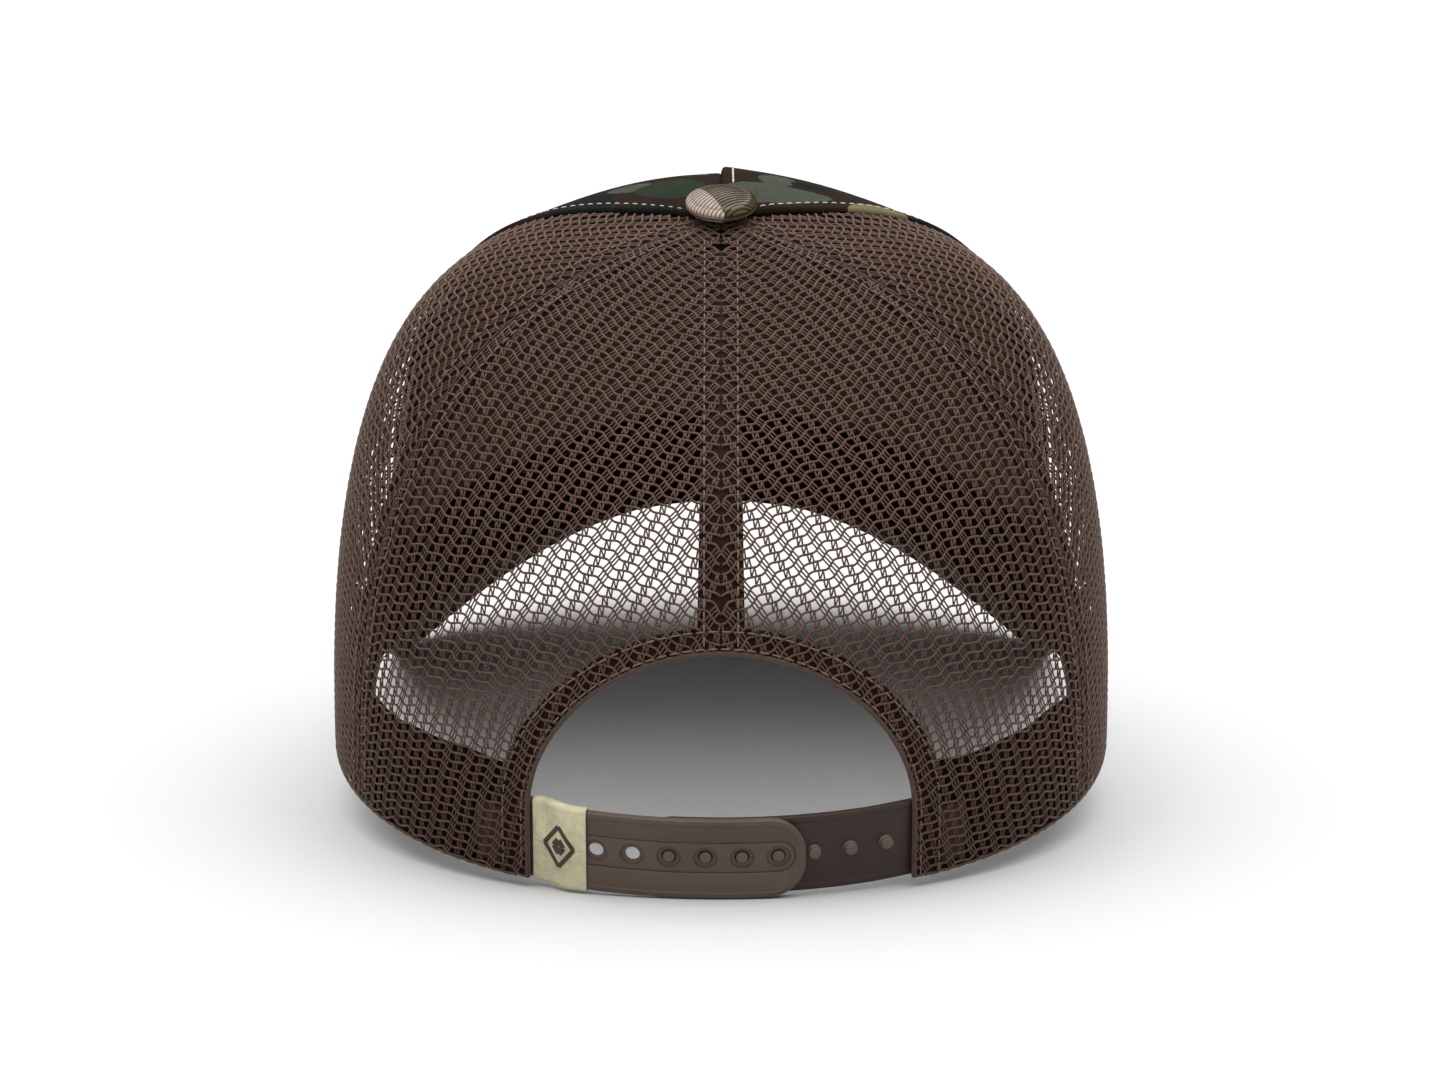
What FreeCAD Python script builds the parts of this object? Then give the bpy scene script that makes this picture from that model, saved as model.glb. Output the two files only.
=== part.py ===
import FreeCAD, Part
import math
import os
from functools import lru_cache

from FreeCAD import Vector

# Trucker mesh cap, resting on its brim edges and its rear strap.
# Millimetres and degrees. +Z is up, the brim points along -Y and the snap strap is at +Y.
# +X is the wearer's left. The origin is on the floor, under the middle of the whole cap.
# The crown is designed level, with its hem in the plane z = 0, and is then tipped back on
# its rear hem, as a cap stands when its curved brim props up the front.

# Crown
half_width = 87.7
half_length = 97.2
egg = 0.168                 # how much wider the plan is behind its middle than in front
crown_height = 112.4
apex_y = -22.1
rear_power = (1.226, 0.758)     # inward and upward powers of the meridian at the rear
side_power = (0.394, 0.776)
front_power = (1.004, 0.918)
front_bulge = 7.1           # fullness of the front panels just below the button
front_arch = 7.3            # rise of the hem over the brim
tip_back = 10.83
apex_hole = 3.0             # the panels stop this far from the apex
rear_seam = 58.4            # azimuths of the panel seams, 0 at the rear centre
front_seam = 108.4
seam_gap = 0.3

# Layers, measured inward from the outer surface
twill = (0.0, 0.7)
buckram = (0.9, 1.6)
net = (0.0, 0.9)
net_tape = (1.3, 1.9)
front_tape = (1.9, 2.5)
padding = (2.0, 2.8)
sweatband = (3.0, 4.0)
pocket = (2.05, 2.85)
tape_half_width = 4.6
tape_top_half_width = 3.6
tape_apex_gap = 15.0
sweatband_height = 25.6

# Rear opening, in the level crown
arch_half_width = 42.5
arch_straight = 16.0
arch_rise = 38.1
binding_side = 6.6
binding_top = 5.2

# Snap strap
strap_height = 19.0
strap_x = 40.0              # distance of each strap's flex line from the middle
strap_mid = 9.8             # height of the row of holes
peg_pitch = 8.05
peg_count = 7
first_peg_x = -36.8         # peg nearest the sewn end of the peg strap
open_holes = 3              # holes past the last engaged peg, one of them under the label
female_depth = 0.2
female_thick = 1.5
male_depth = 1.85
male_thick = 1.2
hole_r = 1.65
ring_r = 2.6
ring_depth = 0.7
peg_base_r = 1.35
peg_tip_r = 0.85
peg_height = 1.35
female_end_x = -18.6
male_end_x = 16.6
label_x = (29.4, 40.6)
label_thick = 0.4
label_air = 0.2
anchor_x = (42.9, 55.0)
anchor_height = 15.0

# Button
button_r = 8.05
button_top = 2.9
button_base = -1.8
button_base_r = 6.2
button_edge_r = 2.0         # roundness of the button's widest edge
button_lift = 3.9
button_lean = 3.5
cloth = 0.6
rivet_r = 1.4
backing_r = 5.5
backing_air = 0.1
shell_air = 0.05
crest_flat = 0.02           # angle left flat at the very top of a dome
shell_thick = 0.5

# Brim
brim_start = 112.5          # azimuth where the brim leaves the hem
brim_half_width = 81.3
brim_wide_y = -97.6
brim_reach = 60.0
brim_front_z = 29.7
brim_slope = 16.3
brim_drop = 44.2
brim_corner_width = 3.0
brim_hem_air = 1.5
brim_hem_lift = 1.3
board = (-0.9, 0.9)
brim_cloth = (1.0, 1.6)
fold_width = 0.016          # share of the brim's reach taken by the folded cloth edge

# Place of the finished cap over its origin
origin_y = 28.7
origin_z = 0.0


def shares(azimuth):
    c = math.cos(math.radians(azimuth))
    rear = c * c if c > 0 else 0.0
    front = c * c if c < 0 else 0.0
    return rear, 1 - rear - front, front


def crown_point(azimuth, rise):
    """Outer surface of the level crown: rise is 0 at the hem and 90 at the apex."""
    rear, side, front = shares(azimuth)
    inward = rear * rear_power[0] + side * side_power[0] + front * front_power[0]
    upward = rear * rear_power[1] + side * side_power[1] + front * front_power[1]
    t = math.radians(azimuth)
    hem_x = half_width * math.sin(t) * (1 + egg * math.cos(t))
    hem_y = half_length * math.cos(t)
    out = max(0.0, math.cos(math.radians(rise))) ** inward
    up = max(0.0, math.sin(math.radians(rise))) ** upward
    bulge = front_bulge * front * 4 * out * (1 - out)
    z = front_arch * front * (1 - up) + crown_height * up + bulge
    return Vector(hem_x * out, apex_y * (1 - out) + hem_y * out, z)


def crown_normal(azimuth, rise):
    step = 0.3
    across = crown_point(azimuth + step, rise) - crown_point(azimuth - step, rise)
    along = crown_point(azimuth, min(90.0, rise + step)) - crown_point(azimuth, max(0.0, rise - step))
    normal = along.cross(across)
    normal.normalize()
    return normal


@lru_cache(maxsize=None)
def meridian(azimuth):
    """Rises up one meridian, and the length of cloth from the hem to each."""
    steps = 240
    rises = [90.0 * (1 - (1 - (k / steps) ** 1.5) ** 3) for k in range(steps + 1)]
    points = [crown_point(azimuth, rise) for rise in rises]
    lengths = [0.0]
    for low, high in zip(points, points[1:]):
        lengths.append(lengths[-1] + (high - low).Length)
    return rises, lengths


def panel_length(azimuth):
    return meridian(azimuth)[1][-1]


def rise_at(azimuth, height):
    rises, lengths = meridian(azimuth)
    for k in range(1, len(lengths)):
        if lengths[k] >= height:
            share = (height - lengths[k - 1]) / (lengths[k] - lengths[k - 1])
            return rises[k - 1] + share * (rises[k] - rises[k - 1])
    return 90.0


def on_crown(azimuth, height, depth):
    """Point a given length of cloth above the hem, and a depth inside the outer surface."""
    rise = rise_at(azimuth, height)
    return crown_point(azimuth, rise) - crown_normal(azimuth, rise) * depth


def spread(low, high, count):
    return [low + (high - low) * k / (count - 1) for k in range(count)]


def interpolated(grid):
    surface = Part.BSplineSurface()
    surface.interpolate(grid)
    return surface


def closed_sheet(outer, inner):
    """Solid between two grids of points, closed by ruled faces along its four edges."""
    outside = interpolated(outer)
    inside = interpolated(inner)
    faces = [outside.toShape(), inside.toShape()]
    u0, u1, v0, v1 = outside.bounds()
    a0, a1, b0, b1 = inside.bounds()
    borders = [
        (outside.uIso(u0), inside.uIso(a0)),
        (outside.uIso(u1), inside.uIso(a1)),
        (outside.vIso(v0), inside.vIso(b0)),
        (outside.vIso(v1), inside.vIso(b1)),
    ]
    for first, second in borders:
        faces.append(Part.makeRuledSurface(first.toShape(), second.toShape()))
    shell = Part.makeShell(faces)
    shell.sewShape(0.001)
    solid = Part.makeSolid(Part.Shell(shell.Faces))
    if solid.Volume < 0:
        solid.reverse()
    return solid


def crown_sheet(azimuths, low, high, rows, layer):
    """Layer of the crown between two heights, each a function of azimuth."""
    grids = []
    for depth in layer:
        grid = []
        for azimuth in azimuths:
            heights = spread(low(azimuth), high(azimuth), rows)
            grid.append([on_crown(azimuth, height, depth) for height in heights])
        grids.append(grid)
    return closed_sheet(grids[0], grids[1])


def crown_panel(first, last, columns, layer, hem=0.0):
    return crown_sheet(
        spread(first, last, columns),
        lambda azimuth: hem,
        lambda azimuth: panel_length(azimuth) - apex_hole,
        24,
        layer,
    )


def seam_tape(azimuth, start, layer, low_half_width=tape_half_width):
    """Strip of even width that covers a seam on the inside, narrower at the top."""
    end = panel_length(azimuth) - tape_apex_gap
    grids = []
    for depth in layer:
        grid = []
        for side in (-1.0, 0.0, 1.0):
            row = []
            for height in spread(start, end, 18):
                share = (height - start) / (end - start)
                half = low_half_width + (tape_top_half_width - low_half_width) * share
                beside = on_crown(azimuth + 1.0, height, 0.0) - on_crown(azimuth - 1.0, height, 0.0)
                turn = side * half * 2.0 / beside.Length
                row.append(on_crown(azimuth + turn, height, depth))
            grid.append(row)
        grids.append(grid)
    return closed_sheet(grids[0], grids[1])


def arch_prism(grow_side, grow_top):
    """Block as wide and tall as the rear opening, through the back of the crown."""
    half = arch_half_width + grow_side
    top = arch_straight + arch_rise + grow_top
    y = 40.0
    low = -5.0
    left = Vector(half, y, arch_straight)
    right = Vector(-half, y, arch_straight)
    centre = Vector(0, y, arch_straight)
    if half >= top - arch_straight:
        ellipse = Part.Ellipse(left, Vector(0, y, top), centre)
        start = 0.0
    else:
        ellipse = Part.Ellipse(Vector(0, y, top), right, centre)
        start = -math.pi / 2
    arc = Part.ArcOfEllipse(ellipse, start, start + math.pi).toShape()
    sides = [
        Part.makeLine(left, Vector(half, y, low)),
        Part.makeLine(Vector(half, y, low), Vector(-half, y, low)),
        Part.makeLine(Vector(-half, y, low), right),
    ]
    wire = Part.Wire(Part.__sortEdges__([arc] + sides))
    return Part.Face(wire).extrude(Vector(0, 80, 0))


def mirrored(shape):
    return shape.mirror(Vector(0, 0, 0), Vector(1, 0, 0))


def strap_azimuth(x):
    """Azimuth where the hem is x from the middle, near the rear."""
    low, high = -89.0, 89.0
    for _ in range(50):
        middle = (low + high) / 2
        if crown_point(middle, 0).x < x:
            low = middle
        else:
            high = middle
    return (low + high) / 2


def plan_normal(azimuth):
    across = crown_point(azimuth + 0.2, 0) - crown_point(azimuth - 0.2, 0)
    normal = Vector(-across.y, across.x, 0)
    normal.normalize()
    return normal


def strap_depth(x, free_depth):
    """The straps come out of the pocket in the hem and settle at their free depth."""
    share = min(1.0, max(0.0, (strap_x - abs(x)) / 7.0))
    share = share * share * (3 - 2 * share)
    return pocket[0] + (free_depth - pocket[0]) * share


def strap_bar(x_from, x_to, free_depth, thick, z_from, z_to, grow=0.0):
    """Bent bar that follows the hem between two places, standing on edge."""
    outer, inner = [], []
    for x in spread(x_from, x_to, 41):
        azimuth = strap_azimuth(x)
        depth = strap_depth(x, free_depth) - grow
        foot = crown_point(azimuth, 0)
        normal = plan_normal(azimuth)
        outer.append(foot - normal * depth + Vector(0, 0, z_from))
        inner.append(foot - normal * (depth + thick + 2 * grow) + Vector(0, 0, z_from))
    edges = []
    for points in (outer, inner):
        curve = Part.BSplineCurve()
        curve.interpolate(points)
        edges.append(curve.toShape())
    edges.append(Part.makeLine(outer[0], inner[0]))
    edges.append(Part.makeLine(outer[-1], inner[-1]))
    wire = Part.Wire(Part.__sortEdges__(edges))
    return Part.Face(wire).extrude(Vector(0, 0, z_to - z_from))


def rounded_end(x_end, inward, radius):
    """Block whose one end has rounded corners, to trim a strap's free end."""
    far = x_end + inward * 120.0
    low, high = 0.0, strap_height
    y = 60.0
    corner = x_end + inward * radius
    bend = radius * (1 - math.sqrt(0.5))
    points = [
        Vector(far, y, low), Vector(corner, y, low), Vector(x_end, y, low + radius),
        Vector(x_end, y, high - radius), Vector(corner, y, high), Vector(far, y, high),
    ]
    low_middle = Vector(x_end + inward * bend, y, low + bend)
    high_middle = Vector(x_end + inward * bend, y, high - bend)
    edges = [
        Part.makeLine(points[0], points[1]),
        Part.Arc(points[1], low_middle, points[2]).toShape(),
        Part.makeLine(points[2], points[3]),
        Part.Arc(points[3], high_middle, points[4]).toShape(),
        Part.makeLine(points[4], points[5]),
        Part.makeLine(points[5], points[0]),
    ]
    return Part.Face(Part.Wire(edges)).extrude(Vector(0, 60, 0))


def peg_places():
    return [first_peg_x + peg_pitch * k for k in range(peg_count)]


def hole_places():
    engaged = [x for x in peg_places() if x > female_end_x]
    return engaged + [engaged[-1] + peg_pitch * (k + 1) for k in range(open_holes)]


def strap_station(x, depth):
    """Foot, outward normal and middle height of a hole or peg."""
    azimuth = strap_azimuth(x)
    normal = plan_normal(azimuth)
    return crown_point(azimuth, 0) - normal * depth + Vector(0, 0, strap_mid), normal


def strap_female():
    body = strap_bar(female_end_x, strap_x + 0.3, female_depth, female_thick, 0, strap_height)
    body = body.common(rounded_end(female_end_x, 1, 8.2))
    for x in hole_places():
        if x > label_x[0]:
            continue
        centre, normal = strap_station(x, female_depth)
        body = body.cut(Part.makeCylinder(hole_r, 6, centre + normal * 2, normal * -1))
        body = body.cut(Part.makeCylinder(ring_r, 2 + ring_depth, centre + normal * 2, normal * -1))
    return body


def strap_male():
    body = strap_bar(-strap_x - 0.3, male_end_x, male_depth, male_thick, 0.4, strap_height - 0.4)
    body = body.common(rounded_end(male_end_x, -1, 6.0))
    for x in peg_places():
        centre, normal = strap_station(x, male_depth + 0.3)
        taper = (peg_base_r - peg_tip_r) / peg_height
        base_r = peg_base_r + taper * 0.3
        peg = Part.makeCone(base_r, peg_tip_r, peg_height + 0.3, centre, normal)
        body = body.fuse(peg)
    return body.removeSplitter()


def woven_label():
    outside = strap_bar(*label_x, female_depth, female_thick, -label_air - label_thick,
                        strap_height + label_air + label_thick, label_air + label_thick)
    hollow = strap_bar(label_x[0] - 1, label_x[1] + 0.8, female_depth, female_thick, -label_air,
                       strap_height + label_air, label_air)
    return outside.cut(hollow)


def strap_anchor():
    """Sewn end of a strap, held in the pocket between the net and the sweatband."""
    azimuths = [strap_azimuth(x) for x in spread(*anchor_x, 6)]
    return crown_sheet(azimuths, lambda azimuth: 1.0, lambda azimuth: anchor_height, 6, pocket)


def lens(radius, top, base, base_r, edge_r):
    """Solid of revolution: a flat dome, a tighter arc round its edge, and an arc under it."""
    dome_r = (radius ** 2 - 2 * radius * edge_r + top ** 2) / (2 * (top - edge_r))
    lean = math.asin((radius - edge_r) / (dome_r - edge_r))
    edge_lean = (lean + math.pi / 2) / 2

    def on_dome(angle):
        return Vector(dome_r * math.sin(angle), 0, top - dome_r + dome_r * math.cos(angle))

    widest = Vector(radius, 0, 0)
    foot = Vector(base_r, 0, base)
    shoulder = Vector(radius - edge_r + edge_r * math.sin(edge_lean), 0, edge_r * math.cos(edge_lean))
    belly = Vector(radius - (radius - base_r) * 0.28, 0, base * 0.6)
    crest = on_dome(crest_flat)
    edges = [
        Part.Arc(crest, on_dome(lean / 2), on_dome(lean)).toShape(),
        Part.Arc(on_dome(lean), shoulder, widest).toShape(),
        Part.Arc(widest, belly, foot).toShape(),
        Part.makeLine(foot, Vector(0, 0, base)),
        Part.makeLine(Vector(0, 0, base), Vector(0, 0, crest.z)),
        Part.makeLine(Vector(0, 0, crest.z), crest),
    ]
    return Part.Face(Part.Wire(edges)).revolve(Vector(0, 0, 0), Vector(0, 0, 1), 360)


def lens_shell(radius, top, base, base_r, edge_r, thick):
    hollow = lens(radius - thick, top - thick, base, base_r - thick, edge_r - thick)
    return lens(radius, top, base, base_r, edge_r).cut(hollow)


def on_apex(shape):
    """Puts a part modelled about the origin on the crown's apex, along the button's axis."""
    shape = shape.copy()
    shape.rotate(Vector(0, 0, 0), Vector(1, 0, 0), -button_lean)
    shape.translate(Vector(0, apex_y, crown_height))
    return shape


def button_parts():
    cover = lens_shell(button_r, button_top, button_base, button_base_r, button_edge_r, cloth)
    inset = cloth + shell_air
    shell = lens_shell(button_r - inset, button_top - inset, button_base,
                       button_base_r - inset, button_edge_r - inset, shell_thick)
    for part in (cover, shell):
        part.translate(Vector(0, 0, button_lift))
    head_z = button_lift + button_base + 0.2
    rivet = Part.makeCylinder(4.6, 0.6, Vector(0, 0, head_z))
    rivet = rivet.fuse(Part.makeCylinder(rivet_r, head_z + 3.6, Vector(0, 0, -3.6)))
    rivet = rivet.fuse(Part.makeCylinder(2.3, 0.5, Vector(0, 0, -4.1))).removeSplitter()
    backing = Part.makeCylinder(backing_r, 0.8, Vector(0, 0, -3.5))
    backing = backing.cut(Part.makeCylinder(rivet_r + backing_air, 3, Vector(0, 0, -5)))
    return {
        "button_cover": on_apex(cover),
        "button_shell": on_apex(shell),
        "button_rivet": on_apex(rivet),
        "button_backing": on_apex(backing),
    }


def tipped(point):
    """Moves a point of the level crown to its place on the standing cap, before the origin shift."""
    a = math.radians(tip_back)
    y = point.y - half_length
    return Vector(
        point.x,
        half_length + y * math.cos(a) + point.z * math.sin(a),
        -y * math.sin(a) + point.z * math.cos(a),
    )


def brim_hem_point(a):
    """Inner edge of the brim, along the front hem, a from 0 at the middle to 1 at the corner."""
    azimuth = 180 - (180 - brim_start) * a
    foot = crown_point(azimuth, 0) + plan_normal(azimuth) * brim_hem_air
    return tipped(foot + Vector(0, 0, brim_hem_lift))


def brim_rim_point(a):
    """Outer edge of the brim: an ellipse in plan, bent down at the sides and sloping forward."""
    corner = brim_hem_point(1.0)
    end = math.pi - math.asin((corner.x + brim_corner_width) / brim_half_width)
    back_reach = (brim_wide_y - corner.y) / math.cos(end)
    turn = end * a
    reach = brim_reach if math.cos(turn) > 0 else back_reach
    x = brim_half_width * math.sin(turn)
    y = brim_wide_y - reach * math.cos(turn)
    ahead = y - (brim_wide_y - brim_reach)
    z = brim_front_z + ahead * math.tan(math.radians(brim_slope)) - brim_drop * math.sin(turn) ** 2
    return Vector(x, y, z)


@lru_cache(maxsize=None)
def walked(edge):
    """Points along one half of an edge of the brim, and the length run so far to each."""
    points = [edge(k / 400) for k in range(401)]
    lengths = [0.0]
    for first, second in zip(points, points[1:]):
        lengths.append(lengths[-1] + (second - first).Length)
    return points, lengths


def along_edge(edge, u):
    """Point at a share of an edge's length, from -1 at the right corner to 1 at the left one."""
    points, lengths = walked(edge)
    target = abs(u) * lengths[-1]
    k = 1
    while k < len(lengths) - 1 and lengths[k] < target:
        k += 1
    share = (target - lengths[k - 1]) / (lengths[k] - lengths[k - 1])
    point = points[k - 1] + (points[k] - points[k - 1]) * share
    return Vector(math.copysign(point.x, u), point.y, point.z)


def brim_middle(u, w):
    inner = along_edge(brim_hem_point, u)
    return inner + (along_edge(brim_rim_point, u) - inner) * w


def brim_point(u, w, offset):
    step = 0.01
    across = brim_middle(u + step, w) - brim_middle(u - step, w)
    along = brim_middle(u, min(1.0, w + step)) - brim_middle(u, max(0.0, w - step))
    normal = across.cross(along)
    normal.normalize()
    if normal.z < 0:
        normal = normal * -1
    return brim_middle(u, w) + normal * offset


def brim_layer(layer, u_reach, w_from, w_to, rows):
    grids = []
    for offset in reversed(layer):
        grid = []
        for u in spread(-u_reach, u_reach, 41):
            grid.append([brim_point(u, w, offset) for w in spread(w_from, w_to, rows)])
        grids.append(grid)
    return closed_sheet(grids[0], grids[1])


def stood(shape):
    """Tips the level crown back on its rear hem, and puts the origin under the cap."""
    shape = shape.copy()
    shape.rotate(Vector(0, half_length, 0), Vector(1, 0, 0), -tip_back)
    return placed(shape)


def placed(shape):
    shape = shape.copy()
    shape.translate(Vector(0, origin_y, origin_z))
    return shape


def crown_parts():
    """Pieces of the crown that come in left and right pairs, built on the left."""
    opening = arch_prism(0, 0)
    rear = crown_panel(seam_gap, rear_seam - seam_gap, 13, net).cut(opening)
    side = crown_panel(rear_seam + seam_gap, front_seam - seam_gap, 13, net)
    front = crown_panel(front_seam + seam_gap, 180 - seam_gap, 15, twill)
    stiff = crown_panel(front_seam + seam_gap, 180 - seam_gap, 15, buckram, hem=0.6)
    pairs = {
        "rear_mesh": rear,
        "side_mesh": side,
        "front_panel": front,
        "front_buckram": stiff,
        "side_rear_seam_tape": seam_tape(rear_seam, 0.8, net_tape),
        "front_side_seam_tape": seam_tape(front_seam, 0.8, front_tape),
        "strap_anchor": strap_anchor(),
    }
    parts = {}
    for name, shape in pairs.items():
        parts[name + "_left"] = shape
        parts[name + "_right"] = mirrored(shape)
    return parts


def band_parts():
    """Tapes and bands that cross the middle of the crown."""
    band = crown_sheet(
        spread(-32.0, 32.0, 21), lambda azimuth: 0.5, lambda azimuth: 64.0, 16, net_tape)
    band = band.common(arch_prism(binding_side, binding_top)).cut(arch_prism(0, 0))
    tape_start = arch_straight + arch_rise + binding_top + 7.0
    tail = strap_azimuth(arch_half_width + 0.3)
    ring = crown_sheet(
        spread(tail, 360 - tail, 73), lambda azimuth: 0.7, lambda azimuth: sweatband_height, 5,
        sweatband)
    pad = crown_sheet(
        spread(114.0, 246.0, 25), lambda azimuth: 3.0, lambda azimuth: 23.0, 5, padding)
    return {
        "arch_binding": band,
        "centre_rear_seam_tape": seam_tape(0.0, tape_start, net_tape, 5.2),
        "centre_front_seam_tape": seam_tape(180.0, sweatband_height + 2.0, front_tape),
        "sweatband": ring,
        "sweatband_padding": pad,
    }


def brim_parts():
    under = (-brim_cloth[1], -brim_cloth[0])
    return {
        "brim_board": brim_layer(board, 0.985, 0.03, 1 - 1.5 * fold_width, 7),
        "brim_top_cloth": brim_layer(brim_cloth, 1.0, 0.0, 1.0, 7),
        "brim_under_cloth": brim_layer(under, 1.0, 0.0, 1.0, 7),
        "brim_edge_fold": brim_layer(board, 0.985, 1 - fold_width, 1.0, 2),
    }


def main():
    os.makedirs("parts", exist_ok=True)
    standing = {}
    for group in (crown_parts(), band_parts(), button_parts()):
        standing.update(group)
    standing["strap_female"] = strap_female()
    standing["strap_male"] = strap_male()
    standing["woven_label"] = woven_label()
    finished = {name: stood(shape) for name, shape in standing.items()}
    finished.update({name: placed(shape) for name, shape in brim_parts().items()})
    for name, shape in finished.items():
        shape.exportStep("parts/" + name + ".step")
        box = shape.BoundBox
        print(f"{name:26s} valid {shape.isValid()} solids {len(shape.Solids)} "
              f"volume {shape.Volume:9.1f} x {box.XMin:7.2f} {box.XMax:7.2f} "
              f"y {box.YMin:7.2f} {box.YMax:7.2f} z {box.ZMin:7.2f} {box.ZMax:7.2f}")


main()
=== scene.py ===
import math

import bpy
import numpy as np
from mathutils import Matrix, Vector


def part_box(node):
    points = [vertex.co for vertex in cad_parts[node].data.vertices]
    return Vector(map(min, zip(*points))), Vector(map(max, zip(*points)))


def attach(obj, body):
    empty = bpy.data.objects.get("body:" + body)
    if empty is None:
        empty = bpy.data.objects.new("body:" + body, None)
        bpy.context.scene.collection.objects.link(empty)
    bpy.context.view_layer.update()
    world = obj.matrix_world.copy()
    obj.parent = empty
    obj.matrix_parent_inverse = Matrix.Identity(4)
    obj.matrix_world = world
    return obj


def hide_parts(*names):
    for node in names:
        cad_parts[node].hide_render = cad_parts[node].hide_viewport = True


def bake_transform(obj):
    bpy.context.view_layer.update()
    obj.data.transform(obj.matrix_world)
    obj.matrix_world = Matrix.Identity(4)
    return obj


# Trucker mesh cap seen from behind. Lengths are millimetres in the crown's own level frame and
# are turned into metres of the shared frame by standing(). Azimuths are degrees, 0 at the rear
# centre and positive towards the wearer's left (+X). Heights are lengths of cloth above the hem,
# and depths go inward from the crown's outer surface.

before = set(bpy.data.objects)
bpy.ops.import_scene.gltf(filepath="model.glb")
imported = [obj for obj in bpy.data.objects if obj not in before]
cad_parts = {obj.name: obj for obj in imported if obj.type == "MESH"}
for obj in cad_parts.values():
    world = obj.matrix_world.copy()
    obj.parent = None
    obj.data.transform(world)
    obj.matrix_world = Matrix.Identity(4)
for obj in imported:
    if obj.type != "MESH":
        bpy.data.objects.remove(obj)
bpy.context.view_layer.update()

# Crown, as in the CAD model
HALF_WIDTH, HALF_LENGTH, EGG = 87.7, 97.2, 0.168
CROWN_HEIGHT, APEX_Y = 112.4, -22.1
REAR_POWER, SIDE_POWER, FRONT_POWER = (1.226, 0.758), (0.394, 0.776), (1.004, 0.918)
FRONT_BULGE, FRONT_ARCH = 7.1, 7.3
TIP_BACK = math.radians(10.83)
SHIFT_Y = 28.7
REAR_SEAM, FRONT_SEAM = 58.4, 108.4
SEAM_GAP, MIDDLE_GAP = 0.25, 0.03
APEX_HOLE = 3.0
ARCH_HALF_WIDTH, ARCH_STRAIGHT, ARCH_RISE = 42.5, 16.0, 38.1
BINDING_SIDE, BINDING_TOP = 6.6, 5.2
SWEATBAND_HEIGHT = 25.6
SIDES = (("left", 1), ("right", -1))

# Camera and light, in metres and degrees
CAMERA_PLACE, CAMERA_DOWN, FOCAL_LENGTH = (0.0, 1.3615, 0.3936), 14.22, 147.7
SKY_LIGHT, SUN_ENERGY, SUN_WIDTH, FLOOR_GREY = 0.50, 5.2, 95, 0.50

# Net: half of a cell along a row, and the step from one row to the next
HALF_CELL = 3.2
ROW_STEP = (-0.58, -2.10)
ROW_YARN_R, PLY_R, LACE_R, HEM_YARN_R = 0.28, 0.205, 0.18, 0.36
# how the rows climb towards the side, and azimuths where the hem yarn and the sweatband start
GRAIN_SLOPE, GRAIN_BEND = 0.09, -0.0044
NET_TAIL, BAND_TAIL = 26.5, 26.2

# Stitches: length, gap and radius, in metres
SEAM_STITCH = (0.0019, 0.0009, 0.00019)
ARCH_STITCH = (0.0019, 0.0009, 0.00018)
BAND_STITCH = (0.0026, 0.0014, 0.0002)
BRIM_STITCH = (0.0026, 0.0011, 0.0002)
FRONT_STITCH, LAP_STITCH = (0.0013, 0.0008, 0.00016), (0.0017, 0.0005, 0.00024)

# Tapes behind the seams: how far they stop short of the button, half their width there, and the
# depths of the faces of those on the net
TAPE_SHORT, TAPE_TOP_HALF = 15.0, 3.6
NET_TAPE = (0.98, 1.7)
OVERLOCK_STEP = 0.52

# Snap strap
STRAP_HEIGHT, STRAP_MID, STRAP_X = 19.0, 9.8, 40.0
PEG_PITCH, PEG_COUNT, FIRST_PEG_X = 8.05, 7, -36.8
FEMALE_END_X, MALE_END_X = -18.6, 16.6
FEMALE_DEPTH, FEMALE_THICK = 0.2, 1.5
MALE_DEPTH, MALE_THICK = 1.85, 1.2
POCKET_DEPTH = 2.05
BORE_R, RING_R, PEG_R = 1.6, 2.6, 1.35
CHANNEL_HALF, FEMALE_CORNER, STRAP_ROOT = 3.65, 8.2, 44.0
MALE_CORNER, MALE_SLIM = 6.0, 0.4
LABEL_X = (29.5, 41.9)
LABEL_OUTER, LABEL_INNER = (1.20, 10.15, 0.9), (0.86, 9.81, 0.6)
THREAD_PITCH = 0.21

# Button
BUTTON_R, BUTTON_TOP, BUTTON_BASE, BUTTON_BASE_R = 8.05, 2.42, -1.8, 6.2
BUTTON_LIFT, BUTTON_LEAN = 3.6, math.radians(3.5)
BUTTON_CORD, CORD_CENTRE = 0.92, (-10.0, 14.5)

# Brim
BRIM_START = 112.5
BRIM_HALF_WIDTH, BRIM_WIDE_Y, BRIM_REACH = 81.3, -97.6, 60.0
BRIM_FRONT_Z, BRIM_SLOPE, BRIM_DROP = 29.7, math.radians(16.3), 44.2
BRIM_CORNER, BRIM_HEM_AIR, BRIM_HEM_LIFT = 3.0, 1.5, 1.3
BRIM_FACE = 1.65
BRIM_STITCH_INSETS = (3.2, 9.0, 15.0, 21.0, 27.5, 34.0, 41.0)


# ---------------------------------------------------------------- crown surface

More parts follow.
